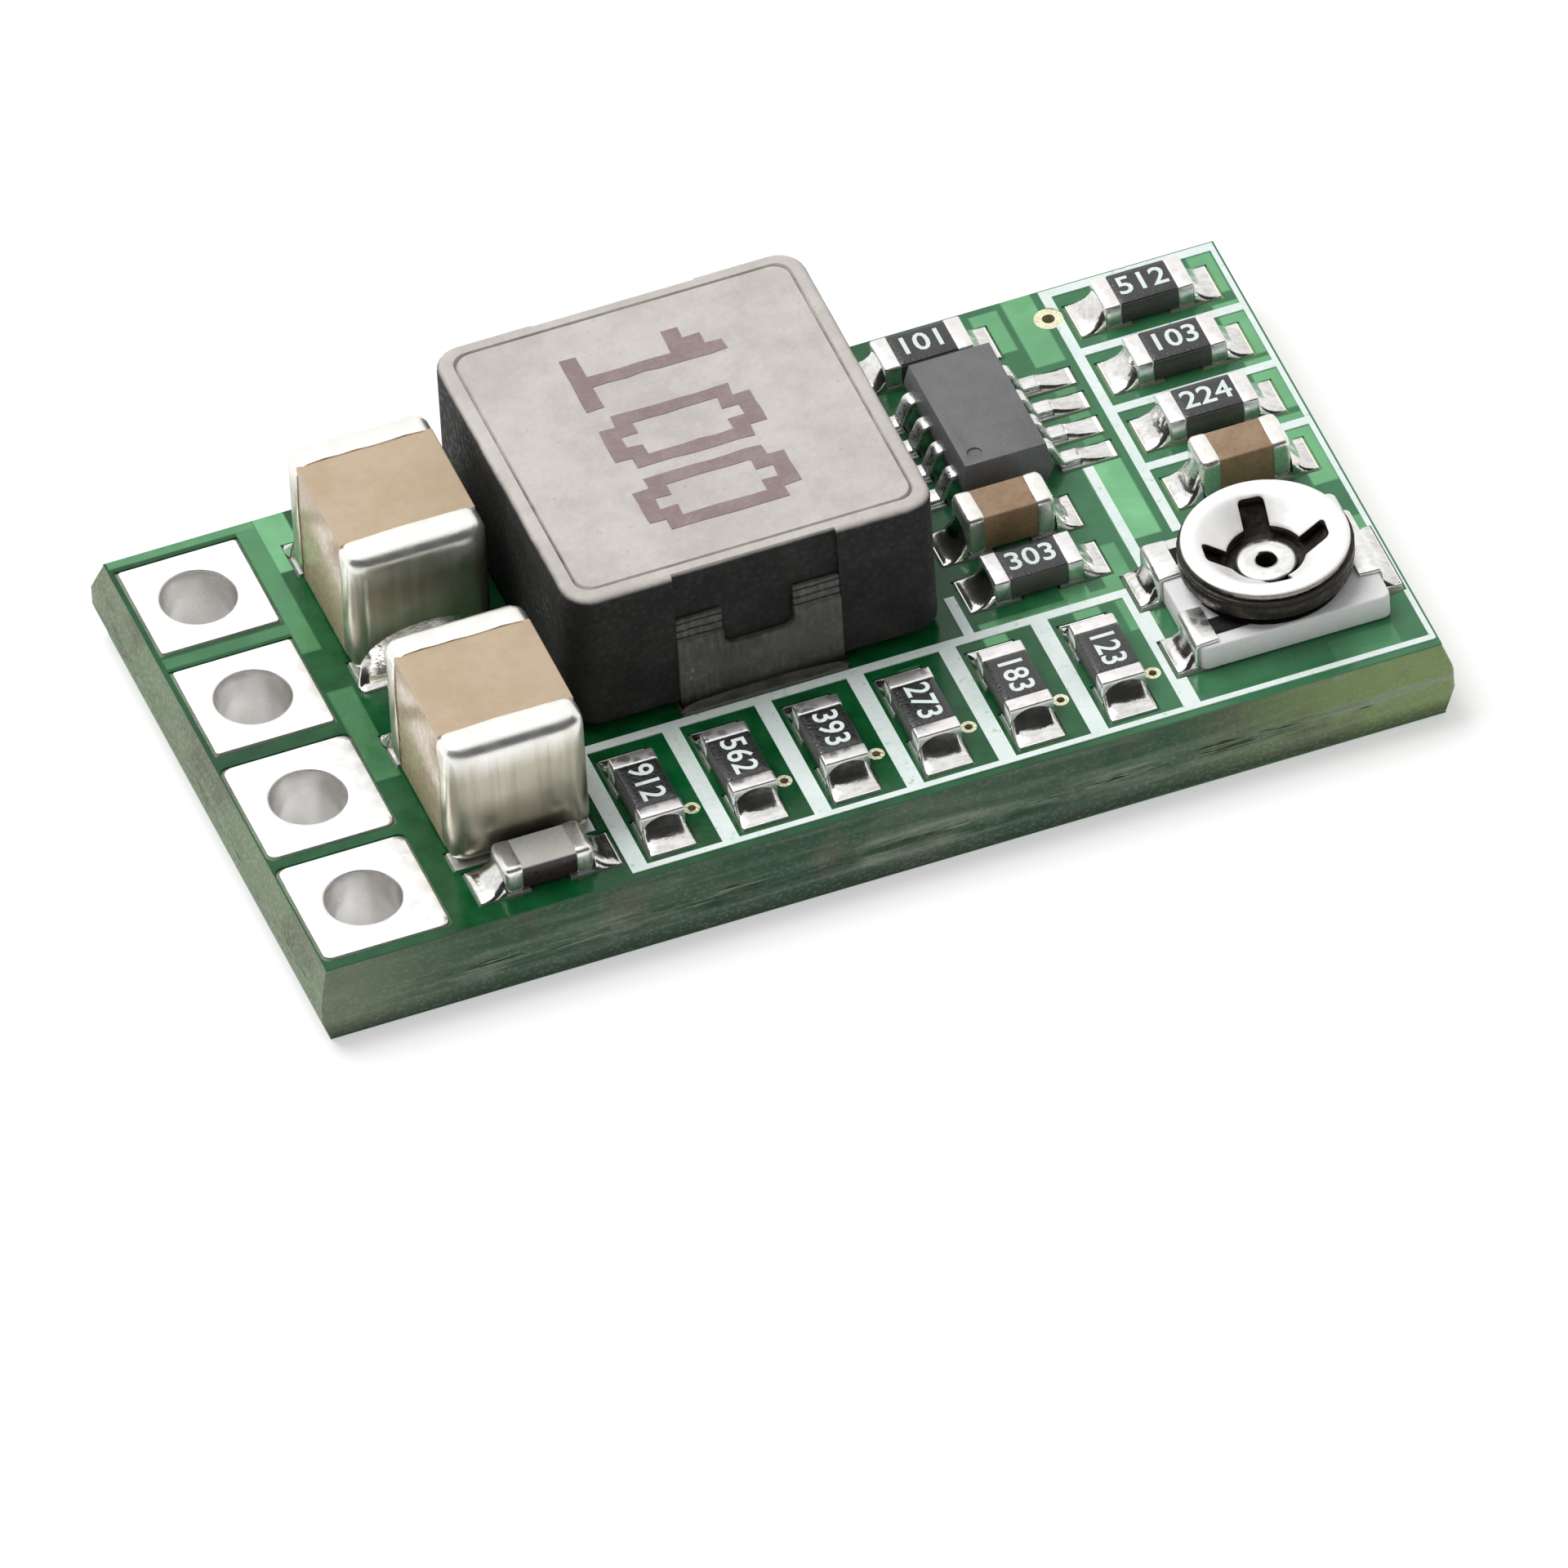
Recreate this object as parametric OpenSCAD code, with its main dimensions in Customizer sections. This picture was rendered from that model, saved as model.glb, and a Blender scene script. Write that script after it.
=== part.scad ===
// Buck converter module: a V-scored glass-fibre board with four plated pin holes, a moulded inductor,
// a switching converter chip, ceramic capacitors, chip resistors and an open-frame trimmer that turns.
// Millimetres. Origin at the middle of the underside, X from the pin holes to the trimmer, Z up.
// Every row of parts is a chain of sizes and gaps, and the board is as long and wide as its longest chain.

/* [Board] */
// Thickness of the glass-fibre laminate
laminate_t = 1.5; // [0.8:0.1:2.4]
// How far the snapped ridge of the V-score stands out past the faces
score_ridge = 0.18; // [0.1:0.01:0.3]
// Height of the snapped ridge in the middle of the edge
score_web = 0.44; // [0.2:0.02:0.6]
// Thickness of the green solder mask
mask_t = 0.04; // [0.02:0.01:0.05]
// Bare gap between a pad and the mask round it
mask_gap = 0.05; // [0.02:0.01:0.08]
// Height of the tinned copper above the laminate
copper_t = 0.06; // [0.06:0.01:0.12]

/* [Pin holes] */
// Distance from one pin hole to the next
pin_pitch = 2.65; // [2.54:0.01:2.9]
// Bore of a plated pin hole
pin_hole_d = 1.3; // [0.9:0.05:1.5]
// Wall of the plating inside a hole
plating_t = 0.05; // [0.03:0.01:0.08]
// Length of the square pads of the two rear holes
power_pad_l = 2.1; // [1.8:0.05:2.2]
// Width of the square pads of the two rear holes
power_pad_w = 2.16; // [1.8:0.02:2.3]
// Length of the rounded pads of the two front holes
signal_pad_l = 2.23; // [1.9:0.01:2.4]
// Width of the rounded pads of the two front holes
signal_pad_w = 2.35; // [1.9:0.05:2.45]
// Corner radius of the rounded pads
signal_pad_r = 0.16; // [0.1:0.02:0.6]

/* [Vias] */
// Bore of the via beside each selector resistor
small_via_d = 0.14; // [0.1:0.02:0.16]
// Ring diameter of the via beside each selector resistor
small_via_ring = 0.28; // [0.24:0.01:0.3]
// Bore of the ground via at the back
ground_via_d = 0.22; // [0.16:0.02:0.3]
// Ring diameter of the ground via at the back
ground_via_ring = 0.5; // [0.4:0.02:0.6]
// Gap between a via's ring and the land beside it
via_gap = 0.1; // [0.09:0.01:0.2]

/* [Printed lines] */
// Thickness of the white print
print_t = 0.02; // [0.01:0.01:0.04]
// Width of a plain printed line
print_w = 0.18; // [0.1:0.01:0.24]
// Width of the bars between the selector resistors
bar_w = 0.3; // [0.15:0.01:0.34]
// Gap between a printed line and the board's edge
print_edge_gap = 0.04; // [0.02:0.01:0.1]
// Gap between a printed line and the lands beside it
print_gap = 0.07; // [0.06:0.01:0.12]

/* [Inductor] */
// Width of the moulded block, along X
inductor_w = 6.55; // [5:0.05:8]
// Depth of the moulded block, along Y
inductor_l = 6.8; // [5:0.05:8]
// Height of the inductor above its lands
inductor_h = 2.98; // [2:0.02:4.5]
// Radius of the block's upright corners
inductor_corner_r = 0.5; // [0.3:0.05:1]
// Radius of the block's top edge
inductor_edge_r = 0.2; // [0.1:0.05:0.28]
// Distance of the mould line on the top from the block's sides
mould_line_inset = 0.32; // [0.3:0.01:0.6]
// Width and depth of the mould line
mould_line = 0.05; // [0.02:0.01:0.08]
// Width of the two terminals
terminal_w = 2.92; // [2:0.02:3.6]
// Thickness of the terminal strip
terminal_t = 0.15; // [0.1:0.01:0.25]
// How deep a terminal lies in the pocket of the block
terminal_pocket = 0.1; // [0.05:0.01:0.2]
// Height of the terminal's face plate
terminal_h = 1.5; // [1:0.05:2]
// Length of the terminal's foot under the block
terminal_foot = 1.2; // [0.6:0.05:1.8]
// Width of the notch in the face plate
notch_w = 1.25; // [0.8:0.05:1.6]
// Height of the bottom of the notch
notch_z = 1.14; // [0.8:0.02:1.3]
// Corner radius of the notch
notch_r = 0.2; // [0.05:0.05:0.35]
// Height of the winding's end strips above the face plate
strip_h = 0.45; // [0.2:0.05:0.6]
// Outer diameter of the winding inside
winding_d = 4.9; // [3.5:0.1:5.2]
// Inner diameter of the winding
winding_bore = 2.4; // [1.5:0.1:3]
// Height of the winding
winding_h = 1.7; // [1:0.1:2]

/* [Bulk capacitors] */
// Length of a bulk capacitor, along Y
bulk_l = 3.25; // [2.8:0.05:3.4]
// Width of a bulk capacitor
bulk_w = 2.48; // [2:0.02:2.8]
// Height of a bulk capacitor
bulk_h = 2.58; // [1.5:0.02:2.8]
// Length of its end caps
bulk_end = 0.52; // [0.3:0.02:0.8]
// Radius of the end caps' upright corners
bulk_corner_r = 0.32; // [0.26:0.02:0.4]
// Radius of the end caps' top edge
bulk_edge_r = 0.22; // [0.1:0.02:0.24]
// Wall of the end caps round the ceramic
bulk_wall = 0.14; // [0.14:0.01:0.2]
// How far the front capacitor sits off the row, towards the pins
front_capacitor_skew = 0.12; // [0:0.01:0.2]

/* [Small chips] */
// Length of a small chip
passive_l = 1.6; // [1.5:0.02:1.7]
// Width of a small chip
passive_w = 0.8; // [0.7:0.02:0.85]
// Height of a chip resistor
resistor_h = 0.45; // [0.35:0.01:0.55]
// Length of a chip resistor's end plating
resistor_end = 0.3; // [0.2:0.02:0.4]
// Thickness of the end plating
end_t = 0.04; // [0.02:0.01:0.06]
// Thickness of the glass coat on the middle of a resistor
coat_t = 0.03; // [0.01:0.01:0.04]
// Height of a small ceramic capacitor
ceramic_h = 0.8; // [0.6:0.02:0.9]
// Height of the bypass capacitor, which is a flatter kind
bypass_h = 0.54; // [0.44:0.02:0.8]
// Length of its end caps
ceramic_end = 0.32; // [0.2:0.02:0.45]
// Radius of its end caps' upright corners
ceramic_corner_r = 0.12; // [0.1:0.01:0.15]
// Radius of its end caps' top edge
ceramic_edge_r = 0.08; // [0.04:0.01:0.09]
// Wall of its end caps round the ceramic
ceramic_wall = 0.06; // [0.06:0.01:0.1]
// How far the ceramic lies in from the faces of a capacitor's end caps
ceramic_inset = 0.03; // [0.01:0.01:0.05]
// Distance between the selector resistors
selector_pitch = 1.64; // [1.6:0.01:1.8]

/* [Lands and solder] */
// How far a land reaches in under a chip
land_in = 0.45; // [0.3:0.05:0.55]
// How far a land reaches out past a chip
land_out = 0.45; // [0.3:0.05:0.5]
// How far the lands of the bulk capacitors reach out
bulk_land_out = 0.32; // [0.2:0.02:0.36]
// How far the inductor's lands reach out in front of its terminals
terminal_land_out = 0.1; // [0.06:0.02:0.3]
// Bare margin of a lead's land on either side of the lead
lead_land_margin = 0.05; // [0.02:0.01:0.08]
// Height of the solder on a resistor's end
resistor_solder_h = 0.34; // [0.2:0.02:0.38]
// Height of the solder on a small capacitor's end
ceramic_solder_h = 0.5; // [0.3:0.02:0.6]
// Height of the solder on the bypass capacitor's ends
bypass_solder_h = 0.34; // [0.2:0.02:0.4]
// Height of the solder on a bulk capacitor's end
bulk_solder_h = 0.8; // [0.4:0.05:1.2]
// Height of the solder in front of a terminal
terminal_solder_h = 0.14; // [0.1:0.02:0.3]

/* [Converter chip] */
// Width of the chip's body, along X
chip_body_w = 1.6; // [1.4:0.05:2]
// Length of the chip's body, along Y
chip_body_l = 2.86; // [2.7:0.02:3.1]
// Height of the chip's body
chip_body_h = 0.85; // [0.6:0.01:1]
// Gap between the chip's body and the lands
chip_standoff = 0.06; // [0.02:0.01:0.1]
// How far the mould's draft pulls the top and bottom faces in
chip_draft = 0.08; // [0.02:0.01:0.12]
// Diameter of the dimple that marks the first lead
chip_mark_d = 0.26; // [0.15:0.01:0.35]
// Depth of the dimple
chip_mark_t = 0.04; // [0.02:0.01:0.08]
// Width over the tips of the leads
chip_span = 2.8; // [2.6:0.05:3.2]
// Distance between leads
lead_pitch = 0.65; // [0.6:0.01:0.7]
// Width of a lead
lead_w = 0.3; // [0.2:0.02:0.38]
// Thickness of a lead
lead_t = 0.12; // [0.08:0.01:0.16]
// Length of a lead's flat foot
lead_foot = 0.36; // [0.25:0.01:0.4]
// How far the lands on the trimmer's side reach out past the leads
chip_land_out = 0.62; // [0.3:0.02:0.8]

/* [Trimmer] */
// Length of the ceramic base, along X
base_l = 3.4; // [3.2:0.05:4]
// Width of the ceramic base, along Y
base_w = 2.75; // [2.6:0.05:3.2]
// Height of the ceramic base
base_h = 0.5; // [0.4:0.02:0.7]
// Radius of the base's upright corners
base_corner_r = 0.14; // [0.04:0.02:0.2]
// Thickness of the resistive track
track_t = 0.03; // [0.02:0.01:0.05]
// Outer radius of the resistive track
track_r = 1.26; // [1.1:0.02:1.3]
// Width of the opening between the two ends of the track
track_gap_w = 0.6; // [0.3:0.05:0.9]
// Width of the tail that runs from an end of the track to its clip
track_tail_w = 0.36; // [0.2:0.02:0.5]
// Thickness of the terminal clips
clip_t = 0.08; // [0.05:0.01:0.12]
// How far a clip's foot reaches out past the base
clip_foot = 0.4; // [0.3:0.02:0.5]
// How far a clip reaches in over the top of the base
clip_top = 0.34; // [0.2:0.02:0.4]
// Width of the two clips of the track
track_clip_w = 0.9; // [0.6:0.05:1]
// Distance of these clips from the base's long sides
track_clip_inset = 0.05; // [0.02:0.01:0.15]
// Width of the clip of the rotor
rotor_clip_w = 1.6; // [1:0.05:2]
// Diameter of the rotor's disc
rotor_d = 2.86; // [2.6:0.02:3]
// Thickness of the rotor's sheet
rotor_t = 0.16; // [0.1:0.01:0.2]
// Height of the rotor's rim above the base
rotor_rise = 0.78; // [0.7:0.02:1]
// Depth of the dish in the rotor
dish_depth = 0.38; // [0.2:0.02:0.4]
// Width of the flat rim round the dish
rim_w = 0.22; // [0.15:0.01:0.3]
// Diameter of the opening in the middle of the dish
dish_open_d = 1.24; // [1.2:0.02:1.4]
// Width of the driver slots
slot_w = 0.44; // [0.3:0.02:0.5]
// Length over a pair of driver slots
slot_span = 2.24; // [1.8:0.02:2.3]
// Resting turn of the driver slots
slot_turn = -6.5; // [-30:0.5:30]
// Diameter of the wiper plate under the disc
wiper_d = 2.98; // [2.9:0.02:3.1]
// Thickness of the wiper plate
wiper_t = 0.08; // [0.05:0.01:0.1]
// Number of contact tips on the wiper
tip_count = 3; // [1:1:5]
// Diameter of a contact tip
tip_d = 0.16; // [0.1:0.02:0.2]
// Angle between two contact tips
tip_spread = 20; // [14:1:40]
// Running gap under the wiper's tips
tip_gap = 0.02; // [0.01:0.01:0.03]
// Outside diameter of the eyelet's barrel
eyelet_d = 0.64; // [0.56:0.02:0.7]
// Bore of the eyelet
eyelet_bore = 0.46; // [0.3:0.02:0.5]
// Diameter of the eyelet's flare
flare_d = 1.04; // [0.9:0.02:1.06]
// Thickness of the eyelet's flare and foot
flare_t = 0.08; // [0.05:0.01:0.1]
// Running clearance between the eyelet and the wiper, on the radius
hub_clearance = 0.03; // [0.02:0.01:0.05]

/* [Gaps along the board] */
// Board's pin end to the pin pads
edge_to_pads = 0.075; // [0.05:0.005:0.5]
// Pin pads to the bulk capacitors
pads_to_capacitors = 0.625; // [0.55:0.005:1.5]
// Bulk capacitors to the inductor
capacitors_to_inductor = 0.41; // [0.3:0.01:1]
// Inductor to the chip's leads
inductor_to_chip = 0.71; // [0.5:0.01:1.5]
// Chip's leads to the divider resistors
chip_to_divider = 1.55; // [1.5:0.01:2.5]
// How far the supply resistor sits off the chip's axis, towards the inductor
supply_offset = 0.16; // [0:0.02:0.3]
// How far the boost capacitor sits off the chip's axis, towards the inductor
boost_offset = 0.36; // [0:0.02:0.5]
// How far the sense resistor sits off the chip's axis, towards the inductor
sense_offset = 0.34; // [0:0.02:0.5]
// Divider resistors to the board's trimmer end
divider_to_edge = 0.81; // [0.6:0.01:1.5]
// Bulk capacitors to the first selector resistor
capacitors_to_selectors = 0.51; // [0.5:0.01:1]
// Last selector resistor to the trimmer's clips
selectors_to_trimmer = 0.6; // [0.55:0.01:1.5]
// Trimmer's clips to the board's end
trimmer_to_edge = 0.12; // [0.08:0.01:0.5]

/* [Gaps across the board] */
// Board's back edge to the inductor
inductor_back_gap = 0.37; // [0.36:0.01:1]
// Inductor to the selector resistors
inductor_to_selectors = 1.12; // [1.1:0.01:2]
// Selector resistors to the board's front edge
selector_front_gap = 0.85; // [0.75:0.01:1.2]
// Board's back edge to the rear capacitor
capacitor_back_gap = 1.12; // [0.5:0.01:1.5]
// Between the two bulk capacitors
between_capacitors = 1.75; // [0.8:0.05:2.5]
// Front bulk capacitor to the bypass capacitor
capacitor_to_bypass = 0.12; // [0.1:0.01:0.4]
// Bypass capacitor to the board's front edge
bypass_front_gap = 0.45; // [0.3:0.01:1]
// Board's back edge to the supply resistor
supply_back_gap = 0.47; // [0.4:0.01:1]
// Supply resistor to the chip's body
supply_to_chip = 0.43; // [0.3:0.01:1]
// Chip's body to the boost capacitor
chip_to_boost = 0.31; // [0.3:0.01:1]
// Boost capacitor to the sense resistor
boost_to_sense = 0.45; // [0.3:0.01:1]
// Sense resistor to the selector resistors
sense_to_selectors = 1.37; // [1.2:0.01:2]
// Board's back edge to the first divider resistor
divider_back_gap = 0.54; // [0.4:0.01:1]
// Distance between the parts of the divider column
divider_pitch = 1.53; // [1.4:0.01:1.8]
// Divider column to the trimmer's base
divider_to_trimmer = 1.14; // [0.9:0.01:1.6]
// Trimmer's base to the board's front edge
trimmer_front_gap = 0.92; // [0.6:0.01:1.2]

/* [Underside] */
// Length of each half of a voltage selector bridge, along Y
bridge_half_l = 0.9; // [0.6:0.05:1.2]
// Width of a selector bridge
bridge_w = 0.8; // [0.6:0.05:1]
// Gap between a bridge and the via beside it
bridge_to_via = 0.12; // [0.08:0.01:0.2]
// Gap between the halves of a bridge
bridge_gap = 0.25; // [0.15:0.01:0.4]
// Width of the track that closes the trimmer's bridge
bridge_track_w = 0.2; // [0.1:0.02:0.4]

/* [Hidden] */
$fn = 48;
cut = 0.5; // overshoot of a cutting tool

// Chains of sizes along X and Y
selector_count = 6;
pads_row = edge_to_pads + signal_pad_l + pads_to_capacitors + bulk_w;
trimmer_span = base_l + 2 * clip_foot;
rear_row = pads_row + capacitors_to_inductor + inductor_w + inductor_to_chip + chip_span
    + chip_to_divider + passive_l + divider_to_edge;
front_row = pads_row + capacitors_to_selectors + passive_w + (selector_count - 1) * selector_pitch
    + selectors_to_trimmer + trimmer_span + trimmer_to_edge;
pin_column = 3 * pin_pitch + signal_pad_w + 2 * edge_to_pads;
capacitor_column = capacitor_back_gap + 2 * bulk_l + between_capacitors + capacitor_to_bypass
    + passive_w + bypass_front_gap;
inductor_column = inductor_back_gap + inductor_l + inductor_to_selectors + passive_l
    + selector_front_gap;
chip_column = supply_back_gap + supply_to_chip + chip_body_l + chip_to_boost + boost_to_sense
    + 3 * passive_w + sense_to_selectors + passive_l + selector_front_gap;
divider_column = divider_back_gap + passive_w + 3 * divider_pitch + divider_to_trimmer + base_w
    + trimmer_front_gap;
face_l = max(rear_row, front_row);
face_w = max(pin_column, capacitor_column, inductor_column, chip_column, divider_column);

// Levels
laminate_z = copper_t;
top_z = laminate_z + laminate_t;
mask_top_z = top_z + mask_t;
seat_z = top_z + copper_t;

// Places, each as [x, y, turn about Z]
pin_x = -face_l / 2 + edge_to_pads + signal_pad_l / 2;
capacitor_x = -face_l / 2 + pads_row - bulk_w / 2;
rear_capacitor_at = [capacitor_x, face_w / 2 - capacitor_back_gap - bulk_l / 2, 90];
front_capacitor_at = [capacitor_x - front_capacitor_skew,
    rear_capacitor_at[1] - bulk_l - between_capacitors, 90];
bypass_at = [capacitor_x, front_capacitor_at[1] - bulk_l / 2 - capacitor_to_bypass - passive_w / 2, 0];
inductor_x = -face_l / 2 + pads_row + capacitors_to_inductor + inductor_w / 2;
inductor_y = face_w / 2 - inductor_back_gap - inductor_l / 2;
chip_x = inductor_x + inductor_w / 2 + inductor_to_chip + chip_span / 2;
supply_at = [chip_x - supply_offset, face_w / 2 - supply_back_gap - passive_w / 2, 0];
chip_y = supply_at[1] - passive_w / 2 - supply_to_chip - chip_body_l / 2;
boost_at = [chip_x - boost_offset, chip_y - chip_body_l / 2 - chip_to_boost - passive_w / 2, 0];
sense_at = [chip_x - sense_offset, boost_at[1] - passive_w - boost_to_sense, 0];
divider_x = face_l / 2 - divider_to_edge - passive_l / 2;
divider_y = face_w / 2 - divider_back_gap - passive_w / 2;
selector_y = -face_w / 2 + selector_front_gap + passive_l / 2;
selector_x = -face_l / 2 + pads_row + capacitors_to_selectors + passive_w / 2;
trimmer_x = face_l / 2 - trimmer_to_edge - trimmer_span / 2;
trimmer_y = -face_w / 2 + trimmer_front_gap + base_w / 2;
small_via_x = (passive_w + small_via_ring) / 2 + via_gap;
function divider_at(i) = [divider_x, divider_y - i * divider_pitch, 0];
function selector_at(i) = [selector_x + i * selector_pitch, selector_y, 90];
function pin_y(i) = (1.5 - i) * pin_pitch;
function selector_via_at(i) = [selector_x + i * selector_pitch + small_via_x,
    selector_y - passive_l / 4];
ground_via_at = [divider_x - passive_l / 2 - land_out - ground_via_ring / 2 - via_gap,
    divider_y + ground_via_ring / 2];

// ---- Shapes that several pieces share ----

// Moves its children to a place [x, y, turn] at height z
module at(place, z = 0) {
    translate([place[0], place[1], z]) rotate([0, 0, place[2]]) children();
}

// Side view of a block with its two top corners rounded
module soft_side(l, h, r) {
    translate([-l / 2, 0]) square([l, h - r]);
    translate([-l / 2 + r, 0]) square([l - 2 * r, h]);
    for (side = [-1, 1]) translate([side * (l / 2 - r), h - r]) circle(r);
}

// Block on z = 0 with upright corners of radius plan_r and a rounded top edge
module soft_block(l, w, h, plan_r, top_r) {
    rotate([90, 0, 0]) linear_extrude(w - 2 * plan_r, center = true) soft_side(l, h, top_r);
    rotate([90, 0, 90]) linear_extrude(l - 2 * plan_r, center = true) soft_side(w, h, top_r);
    for (x = [-1, 1], y = [-1, 1]) translate([x * (l / 2 - plan_r), y * (w / 2 - plan_r), 0])
        rotate_extrude() intersection() {
            soft_side(2 * plan_r, h, top_r);
            square([plan_r, h]);
        }
}

// Plan of a rectangle with rounded corners, or sharp ones at r = 0
module round_plan(l, w, r) {
    if (r > 0) {
        square([l - 2 * r, w], center = true);
        square([l, w - 2 * r], center = true);
        for (x = [-1, 1], y = [-1, 1]) translate([x * (l / 2 - r), y * (w / 2 - r)]) circle(r);
    } else {
        square([l, w], center = true);
    }
}

// Edge view of a V-scored board: two faces and a ridge between them
module score_side(face, t) {
    low = (t - score_web) / 2;
    high = (t + score_web) / 2;
    ridge = face / 2 + score_ridge;
    polygon([[-face / 2, 0], [face / 2, 0], [ridge, low], [ridge, high],
        [face / 2, t], [-face / 2, t], [-ridge, high], [-ridge, low]]);
}

// Plan of the two lands of a chip of size l by w that lies along X
module land_pair(l, w, out = land_out, grow = 0) {
    for (side = [0, 180]) rotate(side)
        translate([l / 2 - land_in - grow, -w / 2 - grow])
            square([land_in + out + 2 * grow, w + 2 * grow]);
}

// Hollow-faced solder fillet of reach and height, width w along Y, against the plane x = 0
module fillet(reach, h, w) {
    steps = 8;
    curve = [for (i = [0:steps]) [reach * (1 - sin(90 * i / steps)), h * (1 - cos(90 * i / steps))]];
    rotate([90, 0, 0]) linear_extrude(w, center = true) polygon(concat([[0, 0]], curve));
}

// The two fillets of a chip
module fillet_pair(l, w, h, reach = land_out) {
    for (side = [0, 180]) rotate(side) translate([l / 2, 0, 0]) fillet(reach, h, w);
}

// ---- Plans of the copper ----

// Outline of one pin pad
module pin_pad_plan(i, grow = 0) {
    if (i < 2) round_plan(power_pad_l + 2 * grow, power_pad_w + 2 * grow, 0);
    else round_plan(signal_pad_l + 2 * grow, signal_pad_w + 2 * grow, signal_pad_r);
}

module every_pin_pad(grow) {
    for (i = [0:3]) translate([pin_x, pin_y(i)]) pin_pad_plan(i, grow);
}

// A disc at every via: the small ones beside the selector resistors, then the ground via
module via_discs(small_d, ground_d) {
    for (i = [0:selector_count - 1]) translate(selector_via_at(i)) circle(d = small_d);
    translate(ground_via_at) circle(d = ground_d);
}

// One land under each lead of the chip
module chip_lands_plan(grow = 0) {
    for (side = [-1, 1], i = [-1.5:1:1.5]) {
        out = side > 0 ? chip_land_out : land_in / 2;
        inner = chip_span / 2 - lead_foot;
        translate([side > 0 ? inner - grow : -inner - lead_foot - out - grow,
            i * lead_pitch - lead_w / 2 - lead_land_margin - grow])
            square([lead_foot + out + 2 * grow, lead_w + 2 * (lead_land_margin + grow)]);
    }
}

// Lands of the trimmer: two on the left for the track, one on the right for the rotor
module trimmer_lands_plan(grow = 0) {
    reach = clip_foot + clip_top;
    for (y = [-1, 1]) translate([-trimmer_span / 2 - grow, y * track_clip_y - track_clip_w / 2 - grow])
        square([reach + 2 * grow, track_clip_w + 2 * grow]);
    translate([trimmer_span / 2 - reach - grow, -rotor_clip_w / 2 - grow])
        square([reach + 2 * grow, rotor_clip_w + 2 * grow]);
}
track_clip_y = (base_w - track_clip_w) / 2 - track_clip_inset;

// All lands on the top side
module lands_plan(grow = 0) {
    for (i = [0:selector_count - 1]) at(selector_at(i)) land_pair(passive_l, passive_w, grow = grow);
    for (i = [0:3]) at(divider_at(i)) land_pair(passive_l, passive_w, grow = grow);
    for (place = [supply_at, boost_at, sense_at, bypass_at])
        at(place) land_pair(passive_l, passive_w, grow = grow);
    at(rear_capacitor_at) land_pair(bulk_l, bulk_w, bulk_land_out, grow);
    at(front_capacitor_at) intersection() {
        land_pair(bulk_l, bulk_w, bulk_land_out, grow);
        // the land towards the bypass capacitor stops flush with the end cap
        translate([-bulk_l / 2, -bulk_w]) square([2 * bulk_l, 2 * bulk_w]);
    }
    translate([inductor_x, inductor_y]) rotate(90)
        land_pair(inductor_l - 2 * (terminal_pocket - terminal_t), terminal_w, terminal_land_out, grow);
    translate([chip_x, chip_y]) chip_lands_plan(grow);
    translate([trimmer_x, trimmer_y]) trimmer_lands_plan(grow);
}

// Places of the seven selector bridges on the underside
bridge_y = selector_y;
function bridge_x(i) = i < selector_count
    ? selector_via_at(i)[0] - small_via_ring / 2 - bridge_to_via - bridge_w / 2
    : trimmer_x;
module bridges_plan(grow = 0) {
    for (i = [0:selector_count], side = [-1, 1])
        translate([bridge_x(i), bridge_y + side * (bridge_gap + bridge_half_l) / 2])
            square([bridge_w + 2 * grow, bridge_half_l + 2 * grow], center = true);
}

// ---- The board ----

module circuit_board() {
    color("#6f7a3c") difference() {
        translate([0, 0, laminate_z]) intersection() {
            rotate([90, 0, 0]) linear_extrude(2 * face_w, center = true) score_side(face_l, laminate_t);
            rotate([90, 0, 90]) linear_extrude(2 * face_l, center = true) score_side(face_w, laminate_t);
        }
        for (i = [0:3]) translate([pin_x, pin_y(i), 0])
            cylinder(h = 2 * laminate_t + cut, d = pin_hole_d + 2 * plating_t);
        linear_extrude(2 * laminate_t + cut)
            via_discs((small_via_ring + small_via_d) / 2, (ground_via_ring + ground_via_d) / 2);
    }
}

module solder_mask_top() {
    color("#1c7a3e") translate([0, 0, top_z]) linear_extrude(mask_t) difference() {
        square([face_l, face_w], center = true);
        every_pin_pad(mask_gap);
        lands_plan(mask_gap);
        via_discs(small_via_ring, ground_via_ring);
    }
}

module solder_mask_bottom() {
    color("#1c7a3e") translate([0, 0, laminate_z - mask_t]) linear_extrude(mask_t) difference() {
        square([face_l, face_w], center = true);
        every_pin_pad(mask_gap);
        bridges_plan(mask_gap);
        translate([bridge_x(selector_count), bridge_y])
            square([bridge_track_w + 2 * mask_gap, bridge_gap + 2 * mask_gap], center = true);
        via_discs(small_via_ring, ground_via_ring);
    }
}

// A printed line from one point to another, along X or Y
module printed_line(from, to, w = print_w) {
    low = [min(from[0], to[0]) - w / 2, min(from[1], to[1]) - w / 2];
    span = [abs(to[0] - from[0]) + w, abs(to[1] - from[1]) + w];
    translate(low) square(span);
}

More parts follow.
